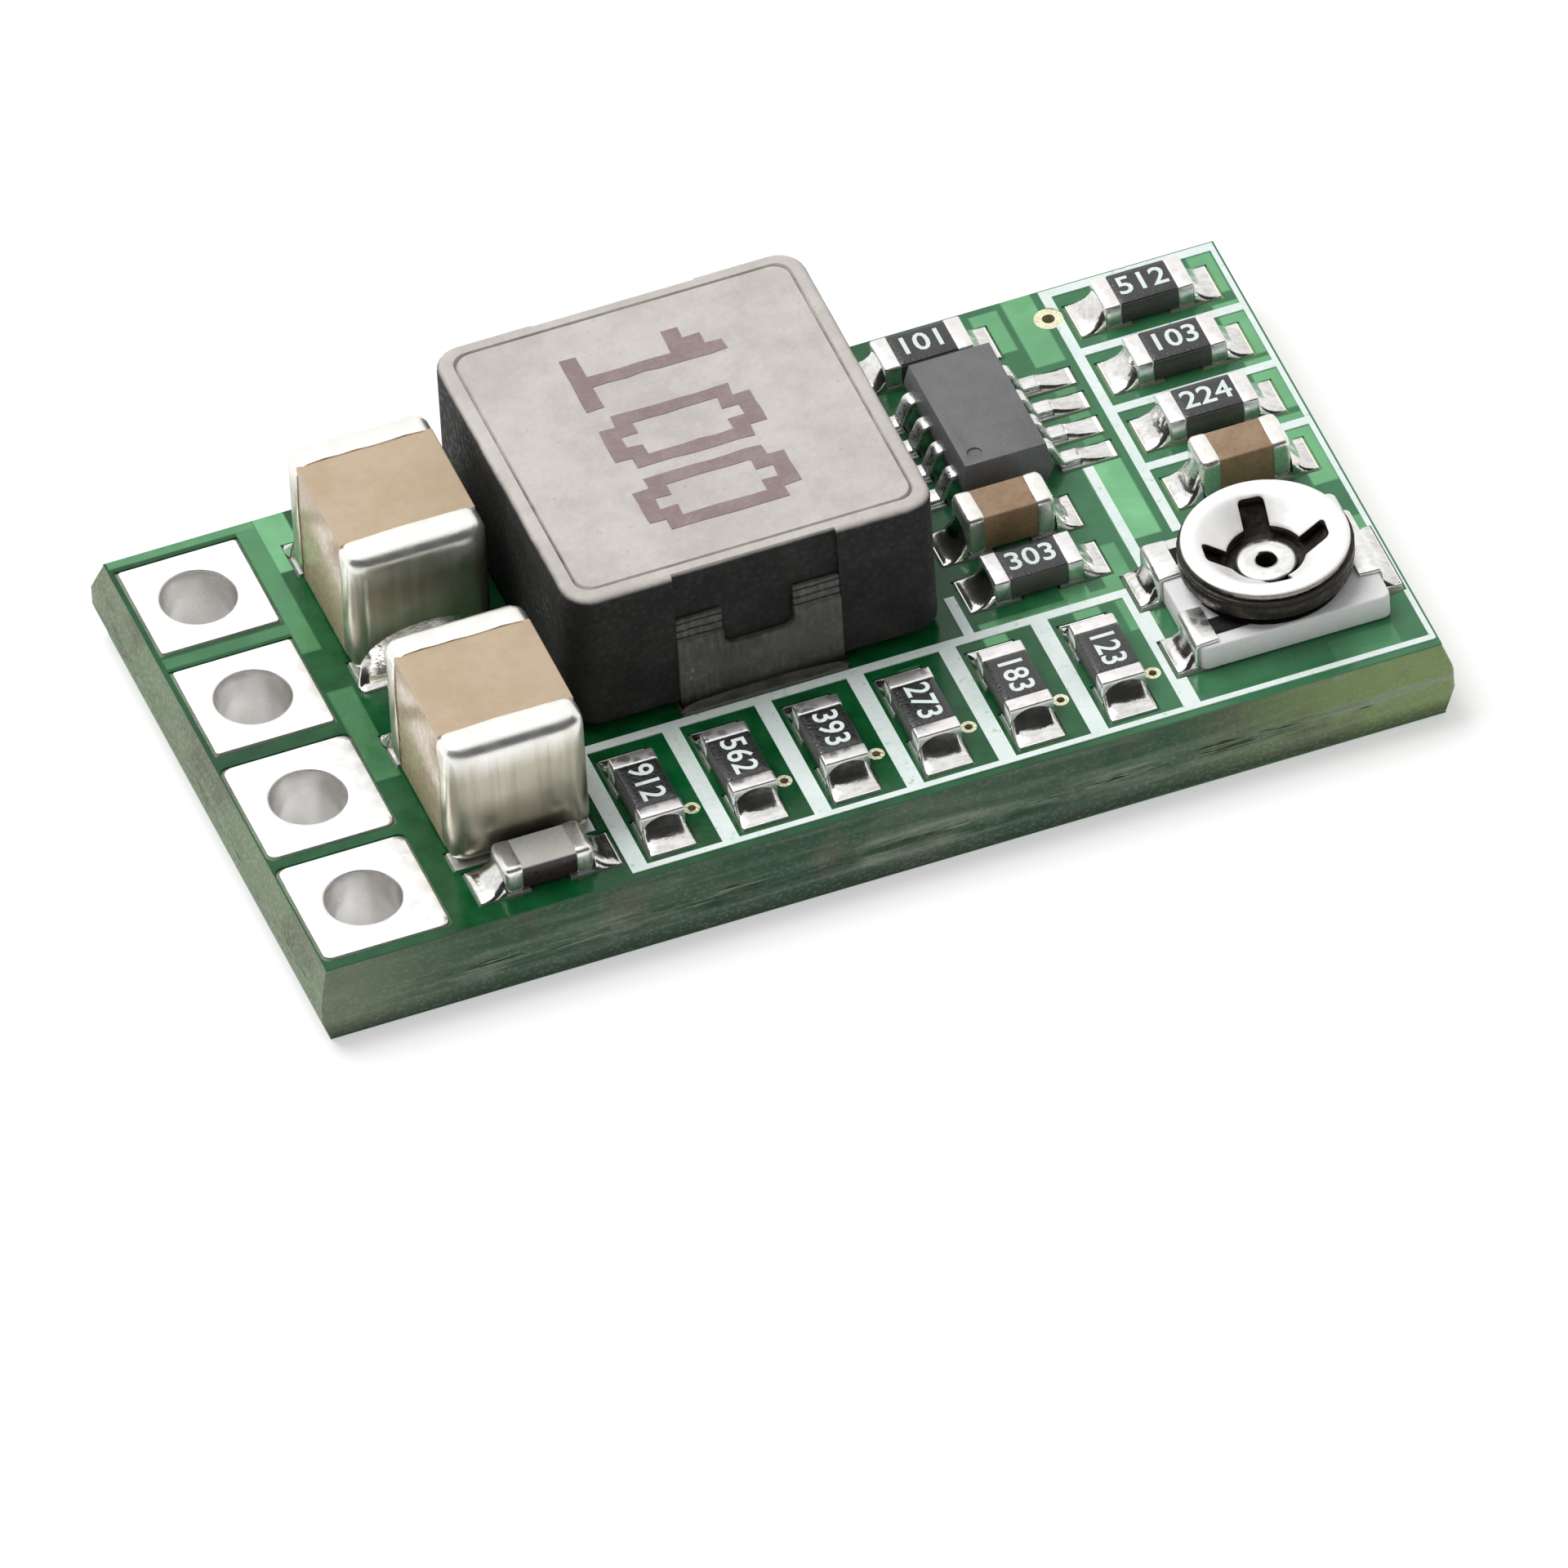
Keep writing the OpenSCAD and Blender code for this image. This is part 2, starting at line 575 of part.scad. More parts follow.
module printed_lines() {
    // a line clear of a land stands this far from the land's edge to its own middle
    line_off = mask_gap + print_gap + print_w / 2;
    front_w = print_w * 2 / 3;
    border_w = print_w / 2;
    edge_x = face_l / 2 - print_edge_gap - border_w / 2;
    line_end_x = edge_x - border_w / 2;
    back_y = face_w / 2 - print_edge_gap - print_w / 2;
    front_y = -face_w / 2 + (selector_front_gap - land_out) / 2;
    bars_back_y = inductor_y - inductor_l / 2 + terminal_pocket - terminal_t - terminal_land_out
        - mask_gap - (print_gap + print_w) / 2;
    first_bar_x = selector_x - (passive_w + bar_w) / 2 - mask_gap - print_gap;
    last_bar_x = first_bar_x + selector_count * selector_pitch;
    divider_line_x = divider_x - passive_l / 2 - land_out - line_off;
    chip_line_x = chip_x + passive_l / 2 + land_out + line_off;
    sense_line_x = sense_at[0] - passive_l / 2 - land_out - line_off;
    color("#f4f6f0") translate([0, 0, mask_top_z]) linear_extrude(print_t) difference() {
        union() {
            // the row of selector resistors, with a bar between each pair
            for (i = [0:selector_count]) let (x = first_bar_x + i * selector_pitch)
                printed_line([x, front_y + (bar_w - front_w) / 2],
                    [x, bars_back_y - (bar_w - print_w) / 2], bar_w);
            printed_line([first_bar_x, bars_back_y], [last_bar_x, bars_back_y]);
            printed_line([first_bar_x, front_y], [line_end_x, front_y], front_w);
            // the divider column, with a line between each pair of parts
            printed_line([divider_line_x, back_y], [divider_line_x, divider_at(3)[1] - passive_w]);
            for (i = [0:2]) let (y = divider_at(i)[1] - divider_pitch / 2)
                printed_line([divider_line_x, y], [line_end_x, y]);
            printed_line([divider_line_x, back_y], [line_end_x, back_y]);
            printed_line([edge_x, front_y], [edge_x, back_y], border_w);
            // the box round the boost capacitor and the sense resistor
            printed_line([chip_line_x, boost_at[1] + passive_w], [chip_line_x, bars_back_y]);
            printed_line([sense_line_x, sense_at[1]], [sense_line_x, bars_back_y]);
        }
        every_pin_pad(mask_gap);
        lands_plan(mask_gap);
        via_discs(small_via_ring, ground_via_ring);
    }
}

// One plated pin hole: a pad on each face and the barrel between them
module pin_pad(i) {
    color("#dcdcd8") translate([pin_x, pin_y(i), 0]) difference() {
        union() {
            linear_extrude(copper_t) pin_pad_plan(i);
            translate([0, 0, top_z]) linear_extrude(copper_t) pin_pad_plan(i);
            cylinder(h = seat_z, d = pin_hole_d + 2 * plating_t);
        }
        translate([0, 0, -cut]) cylinder(h = seat_z + 2 * cut, d = pin_hole_d);
    }
}

module component_lands() {
    color("#d8d8d2") translate([0, 0, top_z]) linear_extrude(copper_t) lands_plan();
}

module selector_bridges() {
    color("#d8d8d2") linear_extrude(copper_t) {
        bridges_plan();
        // the trimmer's bridge is closed by a narrow track
        translate([bridge_x(selector_count), bridge_y])
            square([bridge_track_w, 2 * bridge_gap], center = true);
    }
}

module via_barrels() {
    color("#d9d2a0") difference() {
        union() {
            translate([0, 0, laminate_z - mask_t]) linear_extrude(laminate_t + 2 * mask_t)
                via_discs((small_via_ring + small_via_d) / 2, (ground_via_ring + ground_via_d) / 2);
            for (z = [laminate_z - mask_t, top_z]) translate([0, 0, z])
                linear_extrude(mask_t) via_discs(small_via_ring, ground_via_ring);
        }
        translate([0, 0, -cut]) linear_extrude(seat_z + 2 * cut) via_discs(small_via_d, ground_via_d);
    }
}

// ---- The inductor ----

inductor_bottom_z = seat_z + terminal_t;
block_h = inductor_h - terminal_t;
winding_z = inductor_bottom_z + (block_h - winding_h) / 2;

// The winding's ring and its two ends, which run out to the terminals and past them by over
module winding_solid(over = 0) {
    translate([0, 0, winding_z]) difference() {
        cylinder(h = winding_h, d = winding_d);
        translate([0, 0, -cut]) cylinder(h = winding_h + 2 * cut, d = winding_bore);
    }
    for (side = [0, 180]) rotate(side)
        translate([-notch_w / 2, winding_d / 4 + winding_bore / 4, seat_z + notch_z - 2 * terminal_t])
            cube([notch_w, inductor_l / 2 - terminal_pocket - winding_d / 4 - winding_bore / 4 + over,
                terminal_t]);
}

module inductor_block() {
    pocket_y = inductor_l / 2 - terminal_pocket;
    line = [inductor_w - 2 * mould_line_inset, inductor_l - 2 * mould_line_inset];
    color("#8d8680") translate([inductor_x, inductor_y, 0]) difference() {
        translate([0, 0, inductor_bottom_z])
            soft_block(inductor_w, inductor_l, block_h, inductor_corner_r, inductor_edge_r);
        // pockets of the terminals, up to the top edge
        for (side = [-1, 1]) translate([0, side * (pocket_y + cut), inductor_bottom_z + block_h / 2])
            cube([terminal_w, 2 * cut, 2 * block_h], center = true);
        // mould line round the top
        translate([0, 0, seat_z + inductor_h - mould_line]) linear_extrude(cut) difference() {
            round_plan(line[0], line[1], inductor_corner_r);
            round_plan(line[0] - 2 * mould_line, line[1] - 2 * mould_line,
                inductor_corner_r - mould_line);
        }
        winding_solid(cut);
    }
}

module inductor_winding() {
    color("#b06a3a") translate([inductor_x, inductor_y, 0]) winding_solid();
}

// One terminal at the -Y side: foot, face plate with its notch, and the two strips above it
module inductor_terminal() {
    face_y = -inductor_l / 2 + terminal_pocket - terminal_t;
    strip_w = (terminal_w - notch_w) / 2;
    translate([0, face_y, 0]) rotate([90, 0, 180]) mirror([1, 0, 0]) linear_extrude(terminal_t)
        difference() {
            translate([-terminal_w / 2, seat_z]) square([terminal_w, terminal_h]);
            translate([-notch_w / 2 + notch_r, seat_z + notch_z])
                square([notch_w - 2 * notch_r, terminal_h]);
            translate([-notch_w / 2, seat_z + notch_z + notch_r]) square([notch_w, terminal_h]);
            for (x = [-1, 1]) translate([x * (notch_w / 2 - notch_r), seat_z + notch_z + notch_r])
                circle(notch_r);
        }
    // foot under the block
    translate([-terminal_w / 2, face_y, seat_z]) cube([terminal_w, terminal_foot, terminal_t]);
    // thinner strips of the winding's ends above the plate
    for (side = [-1, 1]) translate([side * (terminal_w - strip_w) / 2,
        face_y + terminal_t - terminal_pocket / 2, seat_z + terminal_h + strip_h / 2])
        cube([strip_w, terminal_pocket, strip_h], center = true);
}

module inductor_terminal_front() {
    color("#b9b9b4") translate([inductor_x, inductor_y, 0]) inductor_terminal();
}

module inductor_terminal_rear() {
    color("#b9b9b4") translate([inductor_x, inductor_y, 0]) rotate(180) inductor_terminal();
}

// ---- Ceramic capacitors ----

// Ceramic block of a capacitor that lies along X on z = 0, with a stub in each end cap
module capacitor_core(l, w, h, end, wall) {
    inset = ceramic_inset;
    translate([-l / 2 + wall, -w / 2 + wall, wall]) cube([l - 2 * wall, w - 2 * wall, h - 2 * wall]);
    translate([-l / 2 + end, -w / 2 + inset, inset]) cube([l - 2 * end, w - 2 * inset, h - 2 * inset]);
}

// The two end caps, each a cup round an end of the core
module capacitor_ends(l, w, h, end, plan_r, top_r, wall) {
    difference() {
        soft_block(l, w, h, plan_r, top_r);
        translate([-l / 2 + end, -w, -cut]) cube([l - 2 * end, 2 * w, h + 2 * cut]);
        capacitor_core(l, w, h, end, wall);
    }
}

module bulk_body(place) {
    color("#b59c7d") at(place, seat_z) capacitor_core(bulk_l, bulk_w, bulk_h, bulk_end, bulk_wall);
}

module bulk_ends(place) {
    color("#ecebe6") at(place, seat_z)
        capacitor_ends(bulk_l, bulk_w, bulk_h, bulk_end, bulk_corner_r, bulk_edge_r, bulk_wall);
}

module ceramic_body(place, tint = "#a8825c", h = ceramic_h) {
    color(tint) at(place, seat_z)
        capacitor_core(passive_l, passive_w, h, ceramic_end, ceramic_wall);
}

module ceramic_ends(place, h = ceramic_h) {
    color("#ecebe6") at(place, seat_z)
        capacitor_ends(passive_l, passive_w, h, ceramic_end, ceramic_corner_r, ceramic_edge_r,
            ceramic_wall);
}

module rear_capacitor_body() { bulk_body(rear_capacitor_at); }
module rear_capacitor_ends() { bulk_ends(rear_capacitor_at); }
module front_capacitor_body() { bulk_body(front_capacitor_at); }
module front_capacitor_ends() { bulk_ends(front_capacitor_at); }
module bypass_capacitor_body() { ceramic_body(bypass_at, "#4a4240", bypass_h); }
module bypass_capacitor_ends() { ceramic_ends(bypass_at, bypass_h); }
module boost_capacitor_body() { ceramic_body(boost_at); }
module boost_capacitor_ends() { ceramic_ends(boost_at); }
module divider_capacitor_body() { ceramic_body(divider_at(3)); }
module divider_capacitor_ends() { ceramic_ends(divider_at(3)); }

// ---- Chip resistors ----

// Ceramic chip with its dark glass coat between the end platings
module resistor_chip(place) {
    inner_l = passive_l - 2 * end_t;
    chip_h = resistor_h - 2 * end_t;
    color("#2a2826") at(place, seat_z + end_t) {
        translate([-inner_l / 2, -passive_w / 2, 0]) cube([inner_l, passive_w, chip_h]);
        translate([-passive_l / 2 + resistor_end, -passive_w / 2, chip_h])
            cube([passive_l - 2 * resistor_end, passive_w, end_t / 2 + coat_t]);
    }
}

// End platings: a channel round each end of the chip
module resistor_ends(place) {
    inner_l = passive_l - 2 * end_t;
    color("#d9d9d6") at(place, seat_z) difference() {
        translate([-passive_l / 2, -passive_w / 2, 0]) cube([passive_l, passive_w, resistor_h]);
        translate([-passive_l / 2 + resistor_end, -passive_w, -cut])
            cube([passive_l - 2 * resistor_end, 2 * passive_w, resistor_h + 2 * cut]);
        translate([-inner_l / 2, -passive_w, end_t]) cube([inner_l, 2 * passive_w, resistor_h - 2 * end_t]);
    }
}

// ---- Converter chip ----

module converter_chip_body() {
    mid = chip_body_h / 2;
    module draft_side(l) {
        polygon([[-l / 2 + chip_draft, 0], [l / 2 - chip_draft, 0], [l / 2, mid],
            [l / 2 - chip_draft, chip_body_h], [-l / 2 + chip_draft, chip_body_h], [-l / 2, mid]]);
    }
    color("#4b4a52") translate([chip_x, chip_y, seat_z + chip_standoff]) difference() {
        intersection() {
            rotate([90, 0, 0]) linear_extrude(2 * chip_body_l, center = true) draft_side(chip_body_w);
            rotate([90, 0, 90]) linear_extrude(2 * chip_body_w, center = true) draft_side(chip_body_l);
        }
        // dimple beside the first lead
        translate([chip_mark_d - chip_body_w / 2 + chip_draft, chip_mark_d - chip_body_l / 2 + chip_draft,
            chip_body_h - chip_mark_t]) cylinder(h = cut, d = chip_mark_d);
    }
}

module converter_chip_leads() {
    knee_z = chip_standoff + chip_body_h / 2;
    tip = chip_span / 2;
    heel = tip - lead_foot;
    side = chip_body_w / 2;
    // the leg slopes from the knee to the heel, and keeps the strip's thickness by this much along X
    slope = (heel - side - lead_t) / (knee_z - lead_t / 2);
    leg = lead_t * sqrt(1 + slope * slope);
    color("#dcdcd8") translate([chip_x, chip_y, seat_z]) for (turn = [0, 180], i = [-1.5:1:1.5])
        rotate(turn) translate([0, i * lead_pitch, 0]) difference() {
            rotate([90, 0, 0]) linear_extrude(lead_w, center = true)
                polygon([[side - chip_draft / 2, knee_z - lead_t / 2],
                    [side + lead_t / 2, knee_z - lead_t / 2], [heel - lead_t / 2, 0], [tip, 0],
                    [tip, lead_t], [heel + leg / 2, lead_t],
                    [side + lead_t / 2 + leg, knee_z + lead_t / 2],
                    [side - chip_draft / 2, knee_z + lead_t / 2]]);
            // the leads end at the body's drafted sides
            rotate([90, 0, 0]) linear_extrude(2 * lead_w, center = true)
                polygon([[0, chip_standoff], [side - chip_draft, chip_standoff], [side, knee_z],
                    [side - chip_draft, chip_standoff + chip_body_h], [0, chip_standoff + chip_body_h]]);
        }
}

// ---- Solder ----

module chip_solder() {
    flat_w = passive_w - 2 * ceramic_corner_r;
    color("#c9c9c4") translate([0, 0, seat_z]) {
        for (i = [0:selector_count - 1]) at(selector_at(i))
            fillet_pair(passive_l, passive_w, resistor_solder_h);
        for (i = [0:2]) at(divider_at(i)) fillet_pair(passive_l, passive_w, resistor_solder_h);
        for (place = [supply_at, sense_at]) at(place)
            fillet_pair(passive_l, passive_w, resistor_solder_h);
        for (place = [boost_at, divider_at(3)]) at(place)
            fillet_pair(passive_l, flat_w, ceramic_solder_h);
        at(bypass_at) fillet_pair(passive_l, flat_w, bypass_solder_h);
        translate([chip_x, chip_y, 0]) for (turn = [0, 180], i = [-1.5:1:1.5])
            rotate(turn) translate([chip_span / 2, i * lead_pitch, 0])
                fillet(turn == 0 ? chip_land_out : land_in / 2, lead_t, lead_w);
    }
}

module power_solder() {
    flat_w = bulk_w - 2 * bulk_corner_r;
    terminal_y = inductor_l / 2 - terminal_pocket + terminal_t;
    color("#c9c9c4") translate([0, 0, seat_z]) {
        at(rear_capacitor_at) fillet_pair(bulk_l, flat_w, bulk_solder_h, bulk_land_out);
        at(front_capacitor_at) translate([bulk_l / 2, 0, 0])
            fillet(bulk_land_out, bulk_solder_h, flat_w);
        translate([inductor_x, inductor_y, 0]) for (turn = [90, 270]) rotate(turn)
            translate([terminal_y, 0, 0]) fillet(terminal_land_out, terminal_solder_h, terminal_w);
    }
}

// ---- Trimmer ----

base_top_z = seat_z + base_h;
rim_z = base_top_z + rotor_rise;
dish_z = rim_z - dish_depth;
wiper_rim_z = rim_z - rotor_t - wiper_t;
tip_z = base_top_z + track_t + tip_gap;
// the tips stand this far down from the hub, and the flare holds the hub with this much play
tip_drop = 0.03;
hub_play = 0.04;
hub_z = tip_z + tip_drop;
flare_z = hub_z + wiper_t + hub_play;
hub_r = eyelet_d / 2 + hub_clearance;
// the hub's flat part runs on under the dish by a wiper's thickness
hub_flat_r = dish_open_d / 2 + wiper_t;
skirt_r = rotor_d / 2 - rim_w;

// Moves its children to the trimmer's axis
module on_trimmer(z = 0) { translate([trimmer_x, trimmer_y, z]) children(); }

module trimmer_base() {
    color("#dcd9dc") on_trimmer(seat_z) difference() {
        linear_extrude(base_h) round_plan(base_l, base_w, base_corner_r);
        translate([0, 0, -cut]) cylinder(h = base_h + 2 * cut, d = eyelet_d);
        translate([0, 0, -cut]) cylinder(h = cut + flare_t, d = flare_d);
    }
}

// Resistive track: a broad ring, open towards its two clips, with a tail from each end to a clip
module trimmer_track() {
    clip_end_x = -base_l / 2 + clip_top;
    tail_gap = print_gap / 2;
    color("#1d1a18") on_trimmer(base_top_z) linear_extrude(track_t) difference() {
        union() {
            circle(track_r);
            for (side = [-1, 1]) translate([clip_end_x + tail_gap, side * track_clip_y - track_tail_w / 2])
                square([-clip_end_x - tail_gap - track_r / 2, track_tail_w]);
        }
        circle(flare_d / 2 + hub_clearance);
        translate([-base_l / 2, -track_gap_w / 2]) square([base_l / 2, track_gap_w]);
    }
}

// One terminal clip against the base's +X end: top strip, upright and foot
module clip(w) {
    translate([base_l / 2 - clip_top, -w / 2, base_h]) cube([clip_top + clip_t, w, clip_t]);
    translate([base_l / 2, -w / 2, 0]) cube([clip_t, w, base_h + clip_t]);
    translate([base_l / 2, -w / 2, 0]) cube([clip_foot, w, clip_t]);
}

module trimmer_clips() {
    color("#e2e2de") on_trimmer(seat_z) {
        clip(rotor_clip_w);
        for (y = [-1, 1]) rotate(180) translate([0, y * track_clip_y, 0]) clip(track_clip_w);
    }
}

module trimmer_eyelet() {
    color("#efeeea") on_trimmer() rotate_extrude() difference() {
        union() {
            translate([0, seat_z]) square([flare_d / 2, flare_t]);
            translate([0, seat_z]) square([eyelet_d / 2, flare_z + flare_t - seat_z]);
            translate([0, flare_z]) square([flare_d / 2 - flare_t / 2, flare_t]);
            translate([flare_d / 2 - flare_t / 2, flare_z + flare_t / 2]) circle(flare_t / 2);
        }
        translate([0, seat_z - cut]) square([eyelet_bore / 2, flare_z - seat_z + 2 * cut]);
    }
}

// Dished disc with a central opening and two crossed driver slots
module trimmer_rotor() {
    open_r = dish_open_d / 2;
    color("#f2f2ee") on_trimmer() rotate(slot_turn) difference() {
        rotate_extrude() polygon([[open_r, dish_z], [open_r, dish_z - rotor_t],
            [skirt_r, rim_z - rotor_t], [rotor_d / 2 - rotor_t / 3, rim_z - rotor_t],
            [rotor_d / 2, rim_z - rotor_t * 2 / 3], [rotor_d / 2, rim_z - rotor_t / 3],
            [rotor_d / 2 - rotor_t / 3, rim_z], [skirt_r, rim_z]]);
        for (turn = [0, 90]) rotate(turn) translate([0, 0, rim_z])
            cube([slot_span, slot_w, 2 * rotor_rise], center = true);
    }
}

// Spring plate under the disc: a hub on the eyelet, a skirt, a rim, and the contact tips, which rest
// on the middle of the track, opposite its opening
module trimmer_wiper() {
    rise = wiper_rim_z - hub_z;
    tip_r = (hub_flat_r + skirt_r) / 2;
    color("#b8b2a4") on_trimmer() rotate(slot_turn) {
        rotate_extrude() polygon([[hub_r, hub_z], [hub_flat_r + wiper_t, hub_z],
            [skirt_r + wiper_t / 2, wiper_rim_z], [wiper_d / 2, wiper_rim_z],
            [wiper_d / 2, wiper_rim_z + wiper_t], [skirt_r, wiper_rim_z + wiper_t],
            [hub_flat_r, hub_z + wiper_t], [hub_r, hub_z + wiper_t]]);
        for (i = [0:tip_count - 1]) rotate((i - (tip_count - 1) / 2) * tip_spread)
            translate([tip_r, 0, tip_z]) cylinder(h = tip_drop + (rise + wiper_t) / 2, d = tip_d);
    }
}

circuit_board();
solder_mask_top();
solder_mask_bottom();
printed_lines();
pin_pad(0);  // board_pin_pad_1
pin_pad(1);  // board_pin_pad_2
pin_pad(2);  // board_pin_pad_3
pin_pad(3);  // board_pin_pad_4
component_lands();
selector_bridges();
via_barrels();
inductor_block();
inductor_winding();
inductor_terminal_front();
inductor_terminal_rear();
rear_capacitor_body();
rear_capacitor_ends();
front_capacitor_body();
front_capacitor_ends();
bypass_capacitor_body();
bypass_capacitor_ends();
boost_capacitor_body();
boost_capacitor_ends();
divider_capacitor_body();
divider_capacitor_ends();
converter_chip_body();
converter_chip_leads();
for (i = [0:selector_count - 1]) {
    resistor_chip(selector_at(i));
    resistor_ends(selector_at(i));
}
resistor_chip(supply_at);  // supply_resistor
resistor_ends(supply_at);  // supply_resistor_ends
resistor_chip(sense_at);  // sense_resistor
resistor_ends(sense_at);  // sense_resistor_ends
for (i = [0:2]) {
    resistor_chip(divider_at(i));
    resistor_ends(divider_at(i));
}
chip_solder();
power_solder();
trimmer_base();
trimmer_track();
trimmer_clips();
trimmer_eyelet();
trimmer_rotor();
trimmer_wiper();
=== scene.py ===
"""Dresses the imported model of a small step-down converter board and sets it in a plain studio.

Lengths in the classes are millimetres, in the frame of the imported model. They turn into metres
when a mesh is made.
"""

import logging
import math
from dataclasses import dataclass
from enum import Enum
from typing import Callable, Iterable, Sequence

import bmesh
import bpy
from mathutils import Matrix, Vector, noise
from mathutils.geometry import delaunay_2d_cdt


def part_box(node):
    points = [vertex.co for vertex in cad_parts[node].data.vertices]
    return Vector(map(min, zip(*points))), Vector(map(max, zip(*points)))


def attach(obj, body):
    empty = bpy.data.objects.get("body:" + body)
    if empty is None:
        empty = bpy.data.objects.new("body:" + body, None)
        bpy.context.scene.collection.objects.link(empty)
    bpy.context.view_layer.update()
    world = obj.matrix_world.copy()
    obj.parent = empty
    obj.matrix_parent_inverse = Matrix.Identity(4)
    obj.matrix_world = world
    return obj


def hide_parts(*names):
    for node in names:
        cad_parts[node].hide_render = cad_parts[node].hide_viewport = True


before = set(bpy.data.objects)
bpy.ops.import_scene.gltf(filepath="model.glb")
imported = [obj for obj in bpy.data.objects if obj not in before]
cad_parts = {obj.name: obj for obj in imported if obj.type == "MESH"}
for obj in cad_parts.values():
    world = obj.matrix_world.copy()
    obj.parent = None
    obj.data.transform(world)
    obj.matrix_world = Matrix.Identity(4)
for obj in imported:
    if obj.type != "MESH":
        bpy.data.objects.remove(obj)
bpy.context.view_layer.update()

log = logging.getLogger("converter_board")

MM = 0.001
Colour = tuple[float, float, float]
Loop = list[Vector]
Flat = tuple[float, float]
Spot = tuple[Vector, float]
Socket = bpy.types.NodeSocket


class Body(Enum):
    """The rigid bodies that a piece can ride on."""

    BOARD = "board"
    ROTOR = "rotor"


# ---- Node trees ----


class Graph:
    """A node tree that is being built, with short ways to add the common nodes."""

    def __init__(self, tree: bpy.types.NodeTree, keep: bool = False) -> None:
        """Starts from an empty tree, or goes on with one.

        Args:
            tree: The tree to fill.
            keep: Leaves the nodes that it has.
        """
        self.tree = tree
        if not keep:
            tree.nodes.clear()

    def node(self, kind: str, **settings: object) -> bpy.types.Node:
        """Adds a node.

        Args:
            kind: Blender's type name of the node.
            **settings: Properties to set on it.

        Returns:
            The new node.
        """
        made = self.tree.nodes.new(kind)
        for name, value in settings.items():
            setattr(made, name, value)
        return made

    def feed(self, socket: Socket, source: object) -> None:
        """Links a socket to an output, or gives it a plain value."""
        if isinstance(source, Socket):
            self.tree.links.new(source, socket)
        elif source is not None:
            if isinstance(source, tuple) and len(source) == 3 and socket.type == "RGBA":
                source = (*source, 1.0)
            socket.default_value = source

    def math(self, operation: str, a: object, b: object = None, c: object = None) -> Socket:
        """Adds a Math node and returns its output."""
        made = self.node("ShaderNodeMath", operation=operation)
        for socket, value in zip(made.inputs, (a, b, c)):
            self.feed(socket, value)
        return made.outputs[0]

    def span(
        self,
        value: object,
        low: object,
        high: object,
        to_low: float = 0.0,
        to_high: float = 1.0,
    ) -> Socket:
        """Maps a value from low..high to to_low..to_high with smooth ends and returns it."""
        made = self.node("ShaderNodeMapRange", interpolation_type="SMOOTHSTEP")
        for name, source in (
            ("Value", value), ("From Min", low), ("From Max", high), ("To Min", to_low),
            ("To Max", to_high),
        ):
            self.feed(made.inputs[name], source)
        return made.outputs["Result"]

    def mix(self, mask: object, a: object, b: object, blend: str = "MIX") -> Socket:
        """Mixes two colours by a mask and returns the colour."""
        made = self.node("ShaderNodeMix", data_type="RGBA", blend_type=blend)
        for socket, value in zip([made.inputs[0], made.inputs[6], made.inputs[7]], (mask, a, b)):
            self.feed(socket, value)
        return made.outputs[2]

    def noise(
        self,
        vector: object,
        scale: object,
        detail: float = 3.0,
        rough: float = 0.55,
    ) -> Socket:
        """Adds a Noise Texture and returns its value."""
        made = self.node("ShaderNodeTexNoise")
        self.feed(made.inputs["Vector"], vector)
        self.feed(made.inputs["Scale"], scale)
        self.feed(made.inputs["Detail"], detail)
        self.feed(made.inputs["Roughness"], rough)
        return made.outputs[0]

    def cells(
        self,
        vector: object,
        scale: object,
        feature: str = "F1",
        output: str = "Distance",
    ) -> Socket:
        """Adds a Voronoi Texture and returns one of its outputs."""
        made = self.node("ShaderNodeTexVoronoi", feature=feature)
        self.feed(made.inputs["Vector"], vector)
        self.feed(made.inputs["Scale"], scale)
        return made.outputs[output]

    def vectors(self, operation: str, a: object, b: object = None) -> Socket:
        """Adds a Vector Math node and returns its output."""
        made = self.node("ShaderNodeVectorMath", operation=operation)
        for socket, value in zip(made.inputs, (a, b)):
            self.feed(socket, value)
        return made.outputs[0]

    def axes(self, vector: object) -> tuple[Socket, ...]:
        """Splits a vector and returns its X, Y and Z."""
        made = self.node("ShaderNodeSeparateXYZ")
        self.feed(made.inputs[0], vector)
        return tuple(made.outputs)

    def millimetres(self) -> Socket:
        """Returns Object coordinates in millimetres."""
        place = self.node("ShaderNodeTexCoord")
        return self.vectors("MULTIPLY", place.outputs["Object"], (1 / MM, 1 / MM, 1 / MM))

    def group(self, tree: bpy.types.NodeTree, **values: object) -> bpy.types.Node:
        """Places a node group and feeds its named inputs, with _ for a space in a name."""
        made = self.node("ShaderNodeGroup", node_tree=tree)
        for name, value in values.items():
            self.feed(made.inputs[name.replace("_", " ")], value)
        return made


def shader_group(
    name: str,
    inputs: Sequence[tuple[str, str, object]],
    outputs: Sequence[tuple[str, str]],
) -> tuple[Graph, bpy.types.Node, bpy.types.Node]:
    """Starts a shader node group with named sockets.

    Args:
        name: The group's name.
        inputs: Name, kind and starting value of each input.
        outputs: Name and kind of each output.

    Returns:
        The graph, its input node and its output node.
    """
    tree = bpy.data.node_groups.new(name, "ShaderNodeTree")
    for label, kind, value in inputs:
        socket = tree.interface.new_socket(label, in_out="INPUT", socket_type=f"NodeSocket{kind}")
        if value is not None:
            socket.default_value = value
    for label, kind in outputs:
        tree.interface.new_socket(label, in_out="OUTPUT", socket_type=f"NodeSocket{kind}")
    graph = Graph(tree)
    return graph, graph.node("NodeGroupInput"), graph.node("NodeGroupOutput")


